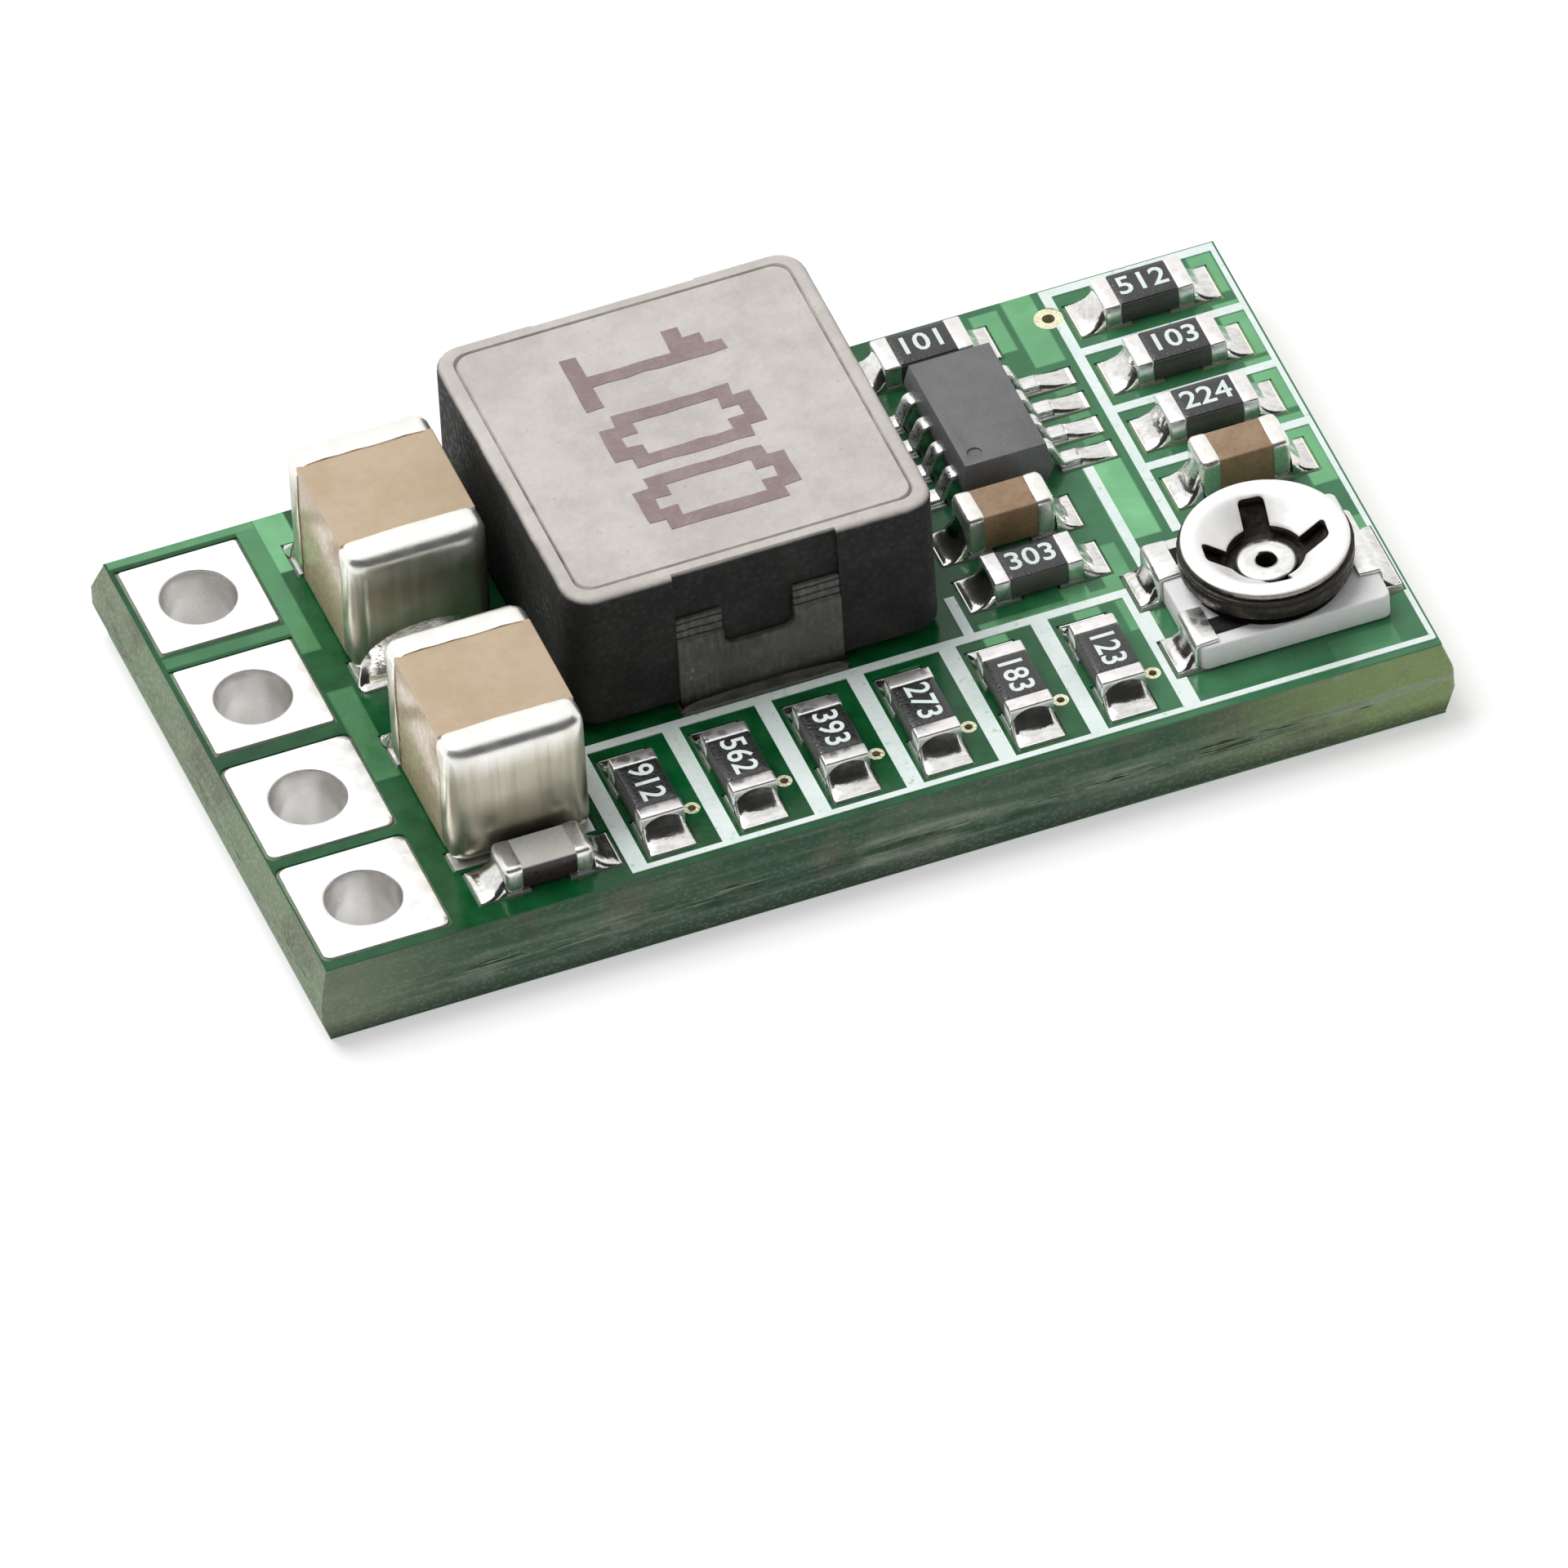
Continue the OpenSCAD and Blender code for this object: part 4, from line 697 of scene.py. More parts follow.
LOOKS: tuple[Finish, ...] = (
    LaminateFinish(
        "laminate", (0.035, 0.10, 0.05), (0.085, 0.14, 0.085), 0.6, 0.2, mottle=0.35, mottled=0.8,
        grain=10.0, depth=0.03,
    ),
    MaskFinish(
        "solder_mask", (0.001, 0.058, 0.013), (0.004, 0.125, 0.034), 0.22, 0.06, coat=0.3,
        specular=0.25, mottle=0.5, mottled=0.6, grain=2.6, depth=0.012, pits=0.0, copper=COPPER,
    ),
    InkFinish(
        "white_print", (0.86, 0.94, 0.92), (0.68, 0.82, 0.76), 0.5, 0.1, mottle=1.6, grain=14.0,
        depth=0.006,
    ),
    PlatedFinish(
        "tinned_pad", (0.97, 0.97, 0.97), (0.92, 0.92, 0.92), 0.4, 0.08, metal=0.85, mottle=0.6,
        grain=3.0, depth=0.006, pits=0.0, stained=0.02,
    ),
    BarrelFinish(
        "barrel", (0.98, 0.98, 0.99), (0.66, 0.64, 0.61), 0.24, 0.04, metal=0.85, mottle=1.0,
        mottled=0.2, grain=2.0, depth=0.001, pits=0.0,
    ),
    PlatedFinish(
        "via_ring", (0.80, 0.78, 0.58), (0.62, 0.58, 0.38), 0.4, 0.1, metal=0.8, stained=0.2,
    ),
    # painted highlight: the pale base colours paint the glare on the inductor's top; the side
    # colour is painted shade
    MouldedFinish(
        "inductor_moulding", (0.66, 0.62, 0.585), (0.44, 0.40, 0.375), 0.66, 0.1, specular=0.35,
        mottle=0.45, mottled=0.5, grain=7.0, depth=0.009, pits=0.5, side=(0.014, 0.014, 0.013),
        top_low=4.53, top_high=4.63,
    ),
    PlatedFinish(
        "copper_winding", (0.72, 0.30, 0.14), (0.55, 0.20, 0.08), 0.35, metal=0.9, coat=0.4,
    ),
    TerminalFinish(
        "tinned_terminal", (0.12, 0.12, 0.11), (0.07, 0.07, 0.064), 0.5, 0.14, metal=0.4,
        mottle=1.0, mottled=0.8, grain=9.0, depth=0.008, streak=(5.0, 5.0, 1.0),
    ),
    Finish(
        "pale_ceramic", (0.56, 0.43, 0.285), (0.46, 0.33, 0.20), 0.22, 0.06, ior=1.7, mottle=0.7,
        grain=6.0, depth=0.003, pits=0.2,
    ),
    Finish(
        "brown_ceramic", (0.36, 0.235, 0.14), (0.20, 0.115, 0.05), 0.28, 0.08, mottle=2.0,
        grain=20.0, depth=0.004,
    ),
    # painted highlight: the pale base colours paint glare on the bypass chip's top
    PaintedGlareTopFinish(
        "dark_ceramic", (0.66, 0.65, 0.60), (0.56, 0.55, 0.51), 0.25, 0.08, mottle=2.0, grain=10.0,
        depth=0.004,
    ),
    PlatedFinish(
        "silver_cap", (0.95, 0.94, 0.90), (0.82, 0.80, 0.74), 0.3, 0.05, metal=0.9, mottle=1.5,
        mottled=0.4, grain=4.0, depth=0.003, pits=0.0, streak=(3.0, 3.0, 0.4),
        stain=(0.42, 0.38, 0.28), stained=0.12,
    ),
    # painted shade: this finish darkens the bulk caps below their shoulders
    CapFinish(
        "bulk_cap", (0.96, 0.955, 0.91), (0.88, 0.87, 0.80), 0.32, 0.04, metal=0.9, mottle=0.9,
        mottled=0.4, grain=3.0, depth=0.003, pits=0.0, streak=(1.6, 1.6, 0.15),
        stain=(0.42, 0.38, 0.28), stained=0.08,
    ),
    Finish(
        "chip_epoxy", (0.17, 0.17, 0.175), (0.125, 0.125, 0.13), 0.5, 0.1, coat=0.05, mottle=2.4,
        grain=26.0, depth=0.006, pits=0.5,
    ),
    PlatedFinish(
        "tinned_lead", (0.92, 0.92, 0.91), (0.74, 0.74, 0.73), 0.26, 0.1, metal=0.95, grain=12.0,
        depth=0.006,
    ),
    Finish(
        "resistor_glass", (0.012, 0.012, 0.013), (0.03, 0.03, 0.03), 0.3, 0.1, coat=0.4, mottle=3.0,
        grain=14.0, depth=0.008,
    ),
    PlatedFinish(
        "resistor_plating", (0.92, 0.90, 0.89), (0.74, 0.71, 0.69), 0.26, 0.06, metal=0.92,
        mottle=2.4, mottled=0.4, grain=5.0, depth=0.005, stained=0.12,
    ),
    PlatedFinish(
        "solder", (0.90, 0.89, 0.87), (0.60, 0.58, 0.54), 0.17, 0.05, metal=1.0, mottle=2.0,
        mottled=0.5, grain=2.4, depth=0.012, pits=0.0, stain=(0.22, 0.17, 0.11), stained=0.25,
    ),
    # painted shade: solder made dark for the inductor terminals' feet
    PlatedFinish(
        "dull_solder", (0.09, 0.09, 0.085), (0.04, 0.04, 0.038), 0.5, 0.1, metal=0.5, specular=0.3,
        mottle=2.0, grain=4.0, depth=0.006,
    ),
    Finish(
        "trimmer_ceramic", (0.90, 0.90, 0.895), (0.80, 0.80, 0.80), 0.45, 0.1, mottle=1.2,
        grain=14.0, depth=0.006, pits=0.3,
    ),
    Finish(
        "track_carbon", (0.006, 0.0055, 0.005), (0.012, 0.011, 0.010), 0.6, 0.1, specular=0.2,
        grain=24.0, depth=0.006,
    ),
    PlatedFinish(
        "trimmer_clip", (0.90, 0.90, 0.89), (0.74, 0.73, 0.70), 0.26, 0.07, metal=0.95, mottled=0.4,
        grain=5.0, depth=0.003, stained=0.15,
    ),
    PlatedFinish(
        "rotor_steel", (0.98, 0.975, 0.965), (0.93, 0.92, 0.90), 0.45, 0.06, metal=0.45, mottle=0.7,
        grain=6.0, depth=0.003, pits=0.0, stain=(0.7, 0.6, 0.48), stained=0.06,
    ),
    # painted shade: this near-black finish dresses the spring plate and its skirt, the rotor's
    # underside and openings and the eyelet's bore
    SpringFinish(
        "spring_bronze", (0.022, 0.017, 0.013), (0.012, 0.009, 0.007), 0.4, 0.12, metal=0.35,
        specular=0.4, mottle=2.0, grain=8.0, depth=0.003, deep=(0.02, 0.014, 0.010),
    ),
    # painted shade: the dark colour of the rotor's rim, below its pale top
    PlatedFinish(
        "rotor_edge", (0.30, 0.27, 0.23), (0.16, 0.14, 0.12), 0.25, 0.06, metal=1.0, mottle=1.5,
        grain=6.0, depth=0.003,
    ),
    # painted shade: the resistor chips' alumina is given this dark colour for their shaded sides
    Finish(
        "alumina", (0.075, 0.08, 0.065), (0.04, 0.045, 0.035), 0.4, 0.1, mottle=3.0, grain=20.0,
        depth=0.004,
    ),
    Finish(
        "glass_strand", (0.30, 0.38, 0.27), (0.10, 0.17, 0.10), 0.4, 0.1, mottle=0.9, mottled=0.9,
        grain=12.0, depth=0.004,
    ),
    Finish(
        "value_ink", (0.27, 0.195, 0.195), (0.36, 0.29, 0.28), 0.6, 0.1, mottle=2.5, grain=14.0,
        depth=0.004,
    ),
)
FINISHES = {finish.name: finish for finish in LOOKS}


class Palette:
    """Makes each finish once, when a piece first asks for it."""

    def __init__(self) -> None:
        """Starts with no materials made."""
        self._made: dict[str, bpy.types.Material] = {}

    def get(self, name: str) -> bpy.types.Material:
        """Returns the material of that finish."""
        if name not in self._made:
            self._made[name] = FINISHES[name].build()
        return self._made[name]


PALETTE = Palette()


# ---- Meshes ----


class Shape:
    """Points and faces in millimetres, gathered before they become a piece."""

    def __init__(self) -> None:
        """Starts empty."""
        self.points: list[Vector] = []
        self.faces: list[tuple[int, ...]] = []
        self.finishes: list[int] = []

    def add(
        self,
        points: Iterable[Vector],
        faces: Iterable[Sequence[int]],
        finish: int = 0,
    ) -> None:
        """Adds points and the faces between them."""
        start = len(self.points)
        self.points += [Vector(p) for p in points]
        for f in faces:
            self.faces.append(tuple(start + i for i in f))
            self.finishes.append(finish)

    def loft(self, loops: Sequence[Loop], finish: int = 0, ring: bool = False) -> None:
        """Joins loops of equal length with quads, and closes the two ends.

        Args:
            loops: The loops, from one end of the solid to the other.
            finish: Which of the piece's finishes the faces take.
            ring: Joins the last loop to the first in place of two end faces.
        """
        n = len(loops[0])
        faces: list[tuple[int, ...]] = []
        for k in range(len(loops) - (0 if ring else 1)):
            a, b = k * n, (k + 1) % len(loops) * n
            faces += [(a + i, a + (i + 1) % n, b + (i + 1) % n, b + i) for i in range(n)]
        if not ring:
            faces.append(tuple(reversed(range(n))))
            faces.append(tuple(range((len(loops) - 1) * n, len(loops) * n)))
        self.add([p for loop in loops for p in loop], faces, finish)

    def lathe(self, profile: Sequence[Flat], sides: int = 72, finish: int = 0) -> None:
        """Turns a closed profile of radius and height about the Z axis."""
        loops = []
        for r, z in profile:
            loops.append(
                [
                    Vector(
                        (
                            r * math.cos(2 * math.pi * i / sides),
                            r * math.sin(2 * math.pi * i / sides), z,
                        )
                    )
                    for i in range(sides)
                ]
            )
        self.loft(loops, finish, ring=True)

    def moved(self, matrix: Matrix) -> "Shape":
        """Returns the same shape moved by a matrix."""
        other = Shape()
        other.points = [matrix @ p for p in self.points]
        other.faces, other.finishes = list(self.faces), list(self.finishes)
        return other

    def join(self, other: "Shape") -> None:
        """Adds another shape to this one."""
        start = len(self.points)
        self.points += other.points
        self.faces += [tuple(start + i for i in f) for f in other.faces]
        self.finishes += other.finishes

    def mesh(self, name: str) -> bpy.types.Mesh:
        """Makes a closed mesh in metres with its faces outwards."""
        made = bpy.data.meshes.new(name)
        made.from_pydata([p * MM for p in self.points], [], self.faces)
        made.polygons.foreach_set("material_index", self.finishes)
        bm = bmesh.new()
        bm.from_mesh(made)
        bmesh.ops.remove_doubles(bm, verts=bm.verts, dist=1e-8)
        bmesh.ops.recalc_face_normals(bm, faces=bm.faces)
        bm.to_mesh(made)
        bm.free()
        return made


def dress(mesh: bpy.types.Mesh, finishes: Sequence[str], smooth: float = 35.0) -> None:
    """Gives a mesh its materials, and smooth shading below an angle in degrees."""
    kept = [face.material_index for face in mesh.polygons]
    mesh.materials.clear()
    for f in finishes:
        mesh.materials.append(PALETTE.get(f))
    mesh.polygons.foreach_set("material_index", kept)
    if smooth:
        mesh.shade_smooth()
        mesh.set_sharp_from_angle(angle=math.radians(smooth))


def settle(
    piece: bpy.types.Object,
    body: Body = Body.BOARD,
    replaces: Sequence[str] = (),
) -> bpy.types.Object:
    """Lets a finished piece ride on its body and reports it.

    Args:
        piece: The finished object.
        body: The body that it moves with.
        replaces: The CAD nodes that it stands for.

    Returns:
        The same object.
    """
    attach(piece, body.value)
    if replaces:
        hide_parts(*replaces)
    log.info("piece %s: %d faces on %s", piece.name, len(piece.data.polygons), body.value)
    return piece


def link(name: str, mesh: bpy.types.Mesh) -> bpy.types.Object:
    """Makes an object at the origin and links it to the scene."""
    made = bpy.data.objects.new(name, mesh)
    bpy.context.scene.collection.objects.link(made)
    return made


def make_piece(
    name: str,
    shape: Shape,
    finishes: Sequence[str],
    body: Body = Body.BOARD,
    replaces: Sequence[str] = (),
    smooth: float = 35.0,
) -> bpy.types.Object:
    """Turns a shape into a finished piece.

    Args:
        name: The piece's name.
        shape: Its shape in millimetres, in place.
        finishes: Names of the finishes that its faces index.
        body: The body that it moves with.
        replaces: The CAD nodes that it stands for.
        smooth: Edges sharper than this many degrees stay sharp.

    Returns:
        The piece.
    """
    mesh = shape.mesh(name)
    dress(mesh, finishes, smooth)
    return settle(link(name, mesh), body, replaces)


def cut_away(piece: bpy.types.Object, cutter: Shape) -> None:
    """Cuts a shape out of a piece."""
    tool = link(f"{piece.name}_cutter", cutter.mesh(f"{piece.name}_cutter"))
    step = piece.modifiers.new("cut", "BOOLEAN")
    step.operation, step.solver, step.object = "DIFFERENCE", "EXACT", tool
    bake_modifiers(piece)
    bpy.data.objects.remove(tool)


def bake_modifiers(piece: bpy.types.Object) -> None:
    """Turns what the modifiers make of a piece into its own mesh, and removes them."""
    bpy.context.view_layer.update()
    shown = piece.evaluated_get(bpy.context.evaluated_depsgraph_get())
    mesh = bpy.data.meshes.new_from_object(shown)
    piece.modifiers.clear()
    old = piece.data
    piece.data = mesh
    mesh.name = piece.name
    bpy.data.meshes.remove(old)


def soften(piece: bpy.types.Object, width: float, segments: int = 2, angle: float = 40.0) -> None:
    """Rounds a piece's sharp edges by a width in millimetres."""
    step = piece.modifiers.new("soften", "BEVEL")
    step.width, step.segments = width * MM, segments
    step.limit_method, step.angle_limit = "ANGLE", math.radians(angle)
    step.use_clamp_overlap = True
    bake_modifiers(piece)


def arc(cx: float, cy: float, r: float, start: float, end: float, steps: int) -> list[Flat]:
    """Points on an arc, with its angles in degrees."""
    made = []
    for i in range(steps + 1):
        a = math.radians(start + (end - start) * i / steps)
        made.append((cx + r * math.cos(a), cy + r * math.sin(a)))
    return made


def rounded_rect(
    length: float,
    width: float,
    r: float,
    z: float,
    steps: int = 6,
    splits: int = 0,
) -> Loop:
    """A loop round a rectangle with rounded corners, centred on the Z axis.

    Args:
        length: Size along X.
        width: Size along Y.
        r: Corner radius.
        z: Height of the loop.
        steps: Segments in each corner.
        splits: Extra points on each straight side.

    Returns:
        The loop, counter-clockwise from above.
    """
    x, y = length / 2 - r, width / 2 - r
    corners = [(x, y, 0.0), (-x, y, 90.0), (-x, -y, 180.0), (x, -y, 270.0)]
    flat: list[Flat] = []
    for i, (cx, cy, a) in enumerate(corners):
        turn = arc(cx, cy, r, a, a + 90, steps)
        flat += turn
        nx, ny, na = corners[(i + 1) % 4]
        ahead = (nx + r * math.cos(math.radians(na)), ny + r * math.sin(math.radians(na)))
        for s in range(1, splits + 1):
            t = s / (splits + 1)
            flat.append(
                (
                    turn[-1][0] + (ahead[0] - turn[-1][0]) * t,
                    turn[-1][1] + (ahead[1] - turn[-1][1]) * t,
                )
            )
    return [Vector((px, py, z)) for px, py in flat]


def soft_block_loops(
    length: float,
    width: float,
    height: float,
    corner: float,
    edge: float,
    steps: int = 5,
    low_edge: float = 0.0,
) -> list[Loop]:
    """Loops of a block on z = 0 with rounded upright corners and a rounded top edge."""

    def row(inset: float, z: float) -> Loop:
        """One loop, drawn in by a length."""
        return rounded_rect(length - 2 * inset, width - 2 * inset, max(corner - inset, 0.01), z)

    angles = [math.pi / 2 * i / steps for i in range(steps + 1)]
    if low_edge:
        loops = [row(low_edge * (1 - math.sin(a)), low_edge * (1 - math.cos(a))) for a in angles]
    else:
        loops = [rounded_rect(length, width, corner, 0.0)]
    loops += [row(edge * (1 - math.cos(a)), height - edge + edge * math.sin(a)) for a in angles]
    return loops


def block(length: float, width: float, height: float, edge: float, steps: int = 3) -> Shape:
    """A block on z = 0 with every edge rounded."""
    made = Shape()
    made.loft(soft_block_loops(length, width, height, edge, edge, steps, edge))
    return made


def wall_faces(rows: int, n: int) -> list[tuple[int, ...]]:
    """Returns the faces between rows of n points that each run round."""
    return [
        (k * n + i, k * n + (i + 1) % n, (k + 1) * n + (i + 1) % n, (k + 1) * n + i)
        for k in range(rows - 1)
        for i in range(n)
    ]


def grid_faces(rows: int, sides: int) -> list[tuple[int, ...]]:
    """Returns the faces of an open grid whose points run along each row in turn."""
    starts = [j * (sides + 1) + i for j in range(rows) for i in range(sides)]
    return [(k, k + 1, k + sides + 2, k + sides + 1) for k in starts]


def offset(x: float, y: float, z: float = 0.0) -> Matrix:
    """Returns a move by three lengths."""
    return Matrix.Translation(Vector((x, y, z)))


@dataclass(frozen=True)
class Place:
    """Where a CAD node is, in millimetres."""

    low: Vector
    high: Vector

    @classmethod
    def of(cls, *nodes: str) -> "Place":
        """The box round some CAD nodes."""
        boxes = [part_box(n) for n in nodes]
        low = Vector([min(b[0][i] for b in boxes) / MM for i in range(3)])
        high = Vector([max(b[1][i] for b in boxes) / MM for i in range(3)])
        return cls(low, high)

    @property
    def centre(self) -> Vector:
        """The middle of the box."""
        return (self.low + self.high) / 2

    @property
    def size(self) -> Vector:
        """The lengths of the box's sides."""
        return self.high - self.low

    @property
    def lies_along_y(self) -> bool:
        """Whether the box is longer along Y than along X."""
        return self.size.y > self.size.x

    @property
    def long(self) -> float:
        """The longer of its two level sides."""
        return max(self.size.x, self.size.y)

    @property
    def wide(self) -> float:
        """The shorter of its two level sides."""
        return min(self.size.x, self.size.y)

    @property
    def foot(self) -> Vector:
        """The middle of its underside."""
        return Vector((self.centre.x, self.centre.y, self.low.z))

    def seat(self) -> Matrix:
        """Returns the move that sets a shape along X on z = 0 into this place."""
        turn = math.radians(90) if self.lies_along_y else 0.0
        return Matrix.Translation(self.foot) @ Matrix.Rotation(turn, 4, "Z")

    def ends(self) -> list[Spot]:
        """Returns the feet of its two far ends, each with the bearing that it faces."""
        axis, turn = Vector((1, 0, 0)), 0.0
        if self.lies_along_y:
            axis, turn = Vector((0, 1, 0)), math.pi / 2
        half = axis * (self.long / 2)
        return [(self.foot + half, turn), (self.foot - half, turn + math.pi)]


def dress_node(node: str, finish: str) -> None:
    """Gives a CAD node that keeps its own shape a finish."""
    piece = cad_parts[node]
    piece.data.materials.clear()
    piece.data.materials.append(PALETTE.get(finish))
    log.info("node %s: %s", node, finish)


def soft_copy(
    node: str,
    name: str,
    finish: str,
    edge: float,
    segments: int = 2,
    body: Body = Body.BOARD,
) -> bpy.types.Object:
    """Stands a copy of a CAD node with rounded edges in its place.

    Args:
        node: The CAD node.
        name: The new piece's name.
        finish: Its finish.
        edge: Width of the rounded edges.
        segments: Segments across each edge.
        body: The body that it moves with.

    Returns:
        The new piece.
    """
    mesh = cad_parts[node].data.copy()
    mesh.name = name
    bm = bmesh.new()
    bm.from_mesh(mesh)
    bmesh.ops.remove_doubles(bm, verts=bm.verts, dist=2e-7)
    bmesh.ops.dissolve_limit(bm, angle_limit=math.radians(0.5), verts=bm.verts, edges=bm.edges)
    bm.to_mesh(mesh)
    bm.free()
    piece = link(name, mesh)
    soften(piece, edge, segments)
    dress(piece.data, [finish], 50.0)
    return settle(piece, body, [node])


def inside(loop: Sequence[Flat], x: float, y: float) -> bool:
    """Tells whether a point lies in a flat loop."""
    found = False
    ax, ay = loop[-1]
    for bx, by in loop:
        if (ay > y) != (by > y) and x < ax + (y - ay) * (bx - ax) / (by - ay):
            found = not found
        ax, ay = bx, by
    return found


def fill(
    outer: Sequence[Flat],
    holes: Sequence[Sequence[Flat]],
    extra: Sequence[Flat] = (),
) -> tuple[list[Flat], list[tuple[int, ...]]]:
    """Fills a flat outline with triangles, round its holes.

    Args:
        outer: The outline.
        holes: The outlines of its holes.
        extra: More points to use inside it.

    Returns:
        The points and the triangles between them.
    """
    points: list[Vector] = []
    edges: list[tuple[int, int]] = []
    for loop in (outer, *holes):
        start, n = len(points), len(loop)
        points += [Vector(p) for p in loop]
        edges += [(start + i, start + (i + 1) % n) for i in range(n)]
    points += [Vector(p) for p in extra]
    made, _, faces, *_ = delaunay_2d_cdt(points, edges, [], 1, 1e-7)
    boxes = [
        (min(p[0] for p in h), max(p[0] for p in h), min(p[1] for p in h), max(p[1] for p in h))
        for h in holes
    ]
    kept = []
    for f in faces:
        x, y = sum(made[i].x for i in f) / len(f), sum(made[i].y for i in f) / len(f)
        if not any(
            b[0] < x < b[1] and b[2] < y < b[3] and inside(h, x, y)
            for b, h in zip(boxes, holes)
        ):
            kept.append(tuple(f))
    return [(p.x, p.y) for p in made], kept


def sheet(
    outer: Sequence[Flat],
    holes: Sequence[Sequence[Flat]],
    top: Callable[[float, float], float],
    thick: float,
    extra: Sequence[Flat] = (),
) -> Shape:
    """A sheet of one thickness that follows a height over its plan.

    Args:
        outer: Its outline.
        holes: The outlines of its openings.
        top: Height of its upper face at a point.
        thick: Its thickness.
        extra: More points inside the outline, for the height to follow.

    Returns:
        The closed sheet, with finish 1 on its underside and in its openings, and 2 round it.
    """
    flat, faces = fill(outer, holes, extra)
    n = len(flat)
    heights = [top(x, y) for x, y in flat]
    used: dict[tuple[int, int], int] = {}
    for f in faces:
        for a, b in zip(f, f[1:] + f[:1]):
            used[(a, b)] = used.get((a, b), 0) + 1
    made = Shape()
    made.add(
        [Vector((x, y, z)) for (x, y), z in zip(flat, heights)] + [
            Vector((x, y, z - thick))
            for (x, y), z in zip(flat, heights)
        ],
        faces,
    )
    for f in faces:
        made.faces.append(tuple(n + i for i in reversed(f)))
        made.finishes.append(1)
    reach = max(math.hypot(x, y) for x, y in outer)
    for a, b in used:
        if (b, a) not in used:
            made.faces.append((b, a, n + a, n + b))
            made.finishes.append(2 if math.hypot(*flat[a]) > 0.97 * reach else 1)
    return made


def strip(
    path: Sequence[Vector],
    width: float,
    thick: float,
    r: float = 0.025,
    taper: float = 0.9,
) -> Shape:
    """A bent strip of metal along a path in the XZ plane, with its width along Y."""
    loops: list[Loop] = []
    for i, p in enumerate(path):
        ahead = (path[min(i + 1, len(path) - 1)] - path[max(i - 1, 0)]).normalized()
        up = Vector((-ahead.z, 0, ahead.x))
        shrink = taper if i in (0, len(path) - 1) else 1.0
        loops.append(
            [
                p + Vector((0, 1, 0)) * q.x + up * q.y
                for q in rounded_rect(width * shrink, thick * shrink, r, 0.0, 2)
            ]
        )
    made = Shape()
    made.loft(loops)
    return made


# ---- Geometry Nodes ----


class NodesTool:
    """A Geometry Nodes tree with named inputs, run on an object and then made a plain mesh."""

    def __init__(self, name: str, inputs: Sequence[tuple[str, str, object]]) -> None:
        """Starts the tree.

        Args:
            name: The tree's name.
            inputs: Name, kind and starting value of each input after the geometry.
        """
        self.tree = bpy.data.node_groups.new(name, "GeometryNodeTree")
        self.tree.interface.new_socket("Geometry", in_out="INPUT", socket_type="NodeSocketGeometry")
        for label, kind, value in inputs:
            socket = self.tree.interface.new_socket(
                label, in_out="INPUT", socket_type=f"NodeSocket{kind}",
            )
            if value is not None:
                socket.default_value = value
        self.tree.interface.new_socket(
            "Geometry", in_out="OUTPUT", socket_type="NodeSocketGeometry",
        )
        self.g = Graph(self.tree)
        self.given = self.g.node("NodeGroupInput")
        self.out = self.g.node("NodeGroupOutput")

    def finish(self, geometry: Socket) -> None:
        """Ends the tree in Realize Instances and Set Material."""
        real = self.g.node("GeometryNodeRealizeInstances")
        self.g.feed(real.inputs[0], geometry)
        paint = self.g.node("GeometryNodeSetMaterial")
        self.g.feed(paint.inputs["Geometry"], real.outputs[0])
        self.g.feed(paint.inputs["Material"], self.given.outputs["Finish"])
        self.g.feed(self.out.inputs[0], paint.outputs[0])

    def run(self, name: str, start: bpy.types.Mesh, **values: object) -> bpy.types.Object:
        """Runs the tree on a mesh and leaves a plain mesh.

        Args:
            name: Name of the new object.
            start: The mesh that the tree starts from.
            **values: Its named inputs, with _ for a space.

        Returns:
            The new object, without its modifier.
        """
        piece = link(name, start)
        step = piece.modifiers.new(self.tree.name, "NODES")
        step.node_group = self.tree
        for item in self.tree.interface.items_tree:
            if item.in_out == "INPUT" and item.name.replace(" ", "_") in values:
                step[item.identifier] = values[item.name.replace(" ", "_")]
        bake_modifiers(piece)
        return piece


def repeat_tool() -> NodesTool:
    """Builds the tree that sets a template on every point, turned by the point's own turn."""
    tool = NodesTool(
        "repeat_on_points",
        [
            ("Template", "Object", None), ("Size", "Float", 1.0), ("Loose Turn", "Float", 0.0),
            ("Seed", "Int", 7), ("Finish", "Material", None),
        ],
    )
    g, given = tool.g, tool.given
    source = g.node("GeometryNodeObjectInfo")
    g.feed(source.inputs["Object"], given.outputs["Template"])
    turn = g.node("GeometryNodeInputNamedAttribute", data_type="FLOAT")
    turn.inputs["Name"].default_value = "turn"
    loose = g.node("FunctionNodeRandomValue", data_type="FLOAT")
    floats = [s for s in loose.inputs if s.type == "VALUE" and s.enabled]
    g.feed(floats[0], g.math("MULTIPLY", given.outputs["Loose Turn"], -1.0))
    g.feed(floats[1], given.outputs["Loose Turn"])
    g.feed(loose.inputs["Seed"], given.outputs["Seed"])
    spun = g.node("ShaderNodeCombineXYZ")
    g.feed(
        spun.inputs["Z"],
        g.math("ADD", turn.outputs["Attribute"], [s for s in loose.outputs if s.enabled][0]),
    )
    euler = g.node("FunctionNodeEulerToRotation")
    g.feed(euler.inputs[0], spun.outputs[0])
    placed = g.node("GeometryNodeInstanceOnPoints")
    g.feed(placed.inputs["Points"], given.outputs["Geometry"])
    g.feed(placed.inputs["Instance"], source.outputs["Geometry"])
    g.feed(placed.inputs["Rotation"], euler.outputs[0])
    g.feed(placed.inputs["Scale"], given.outputs["Size"])
    tool.finish(placed.outputs[0])
    return tool


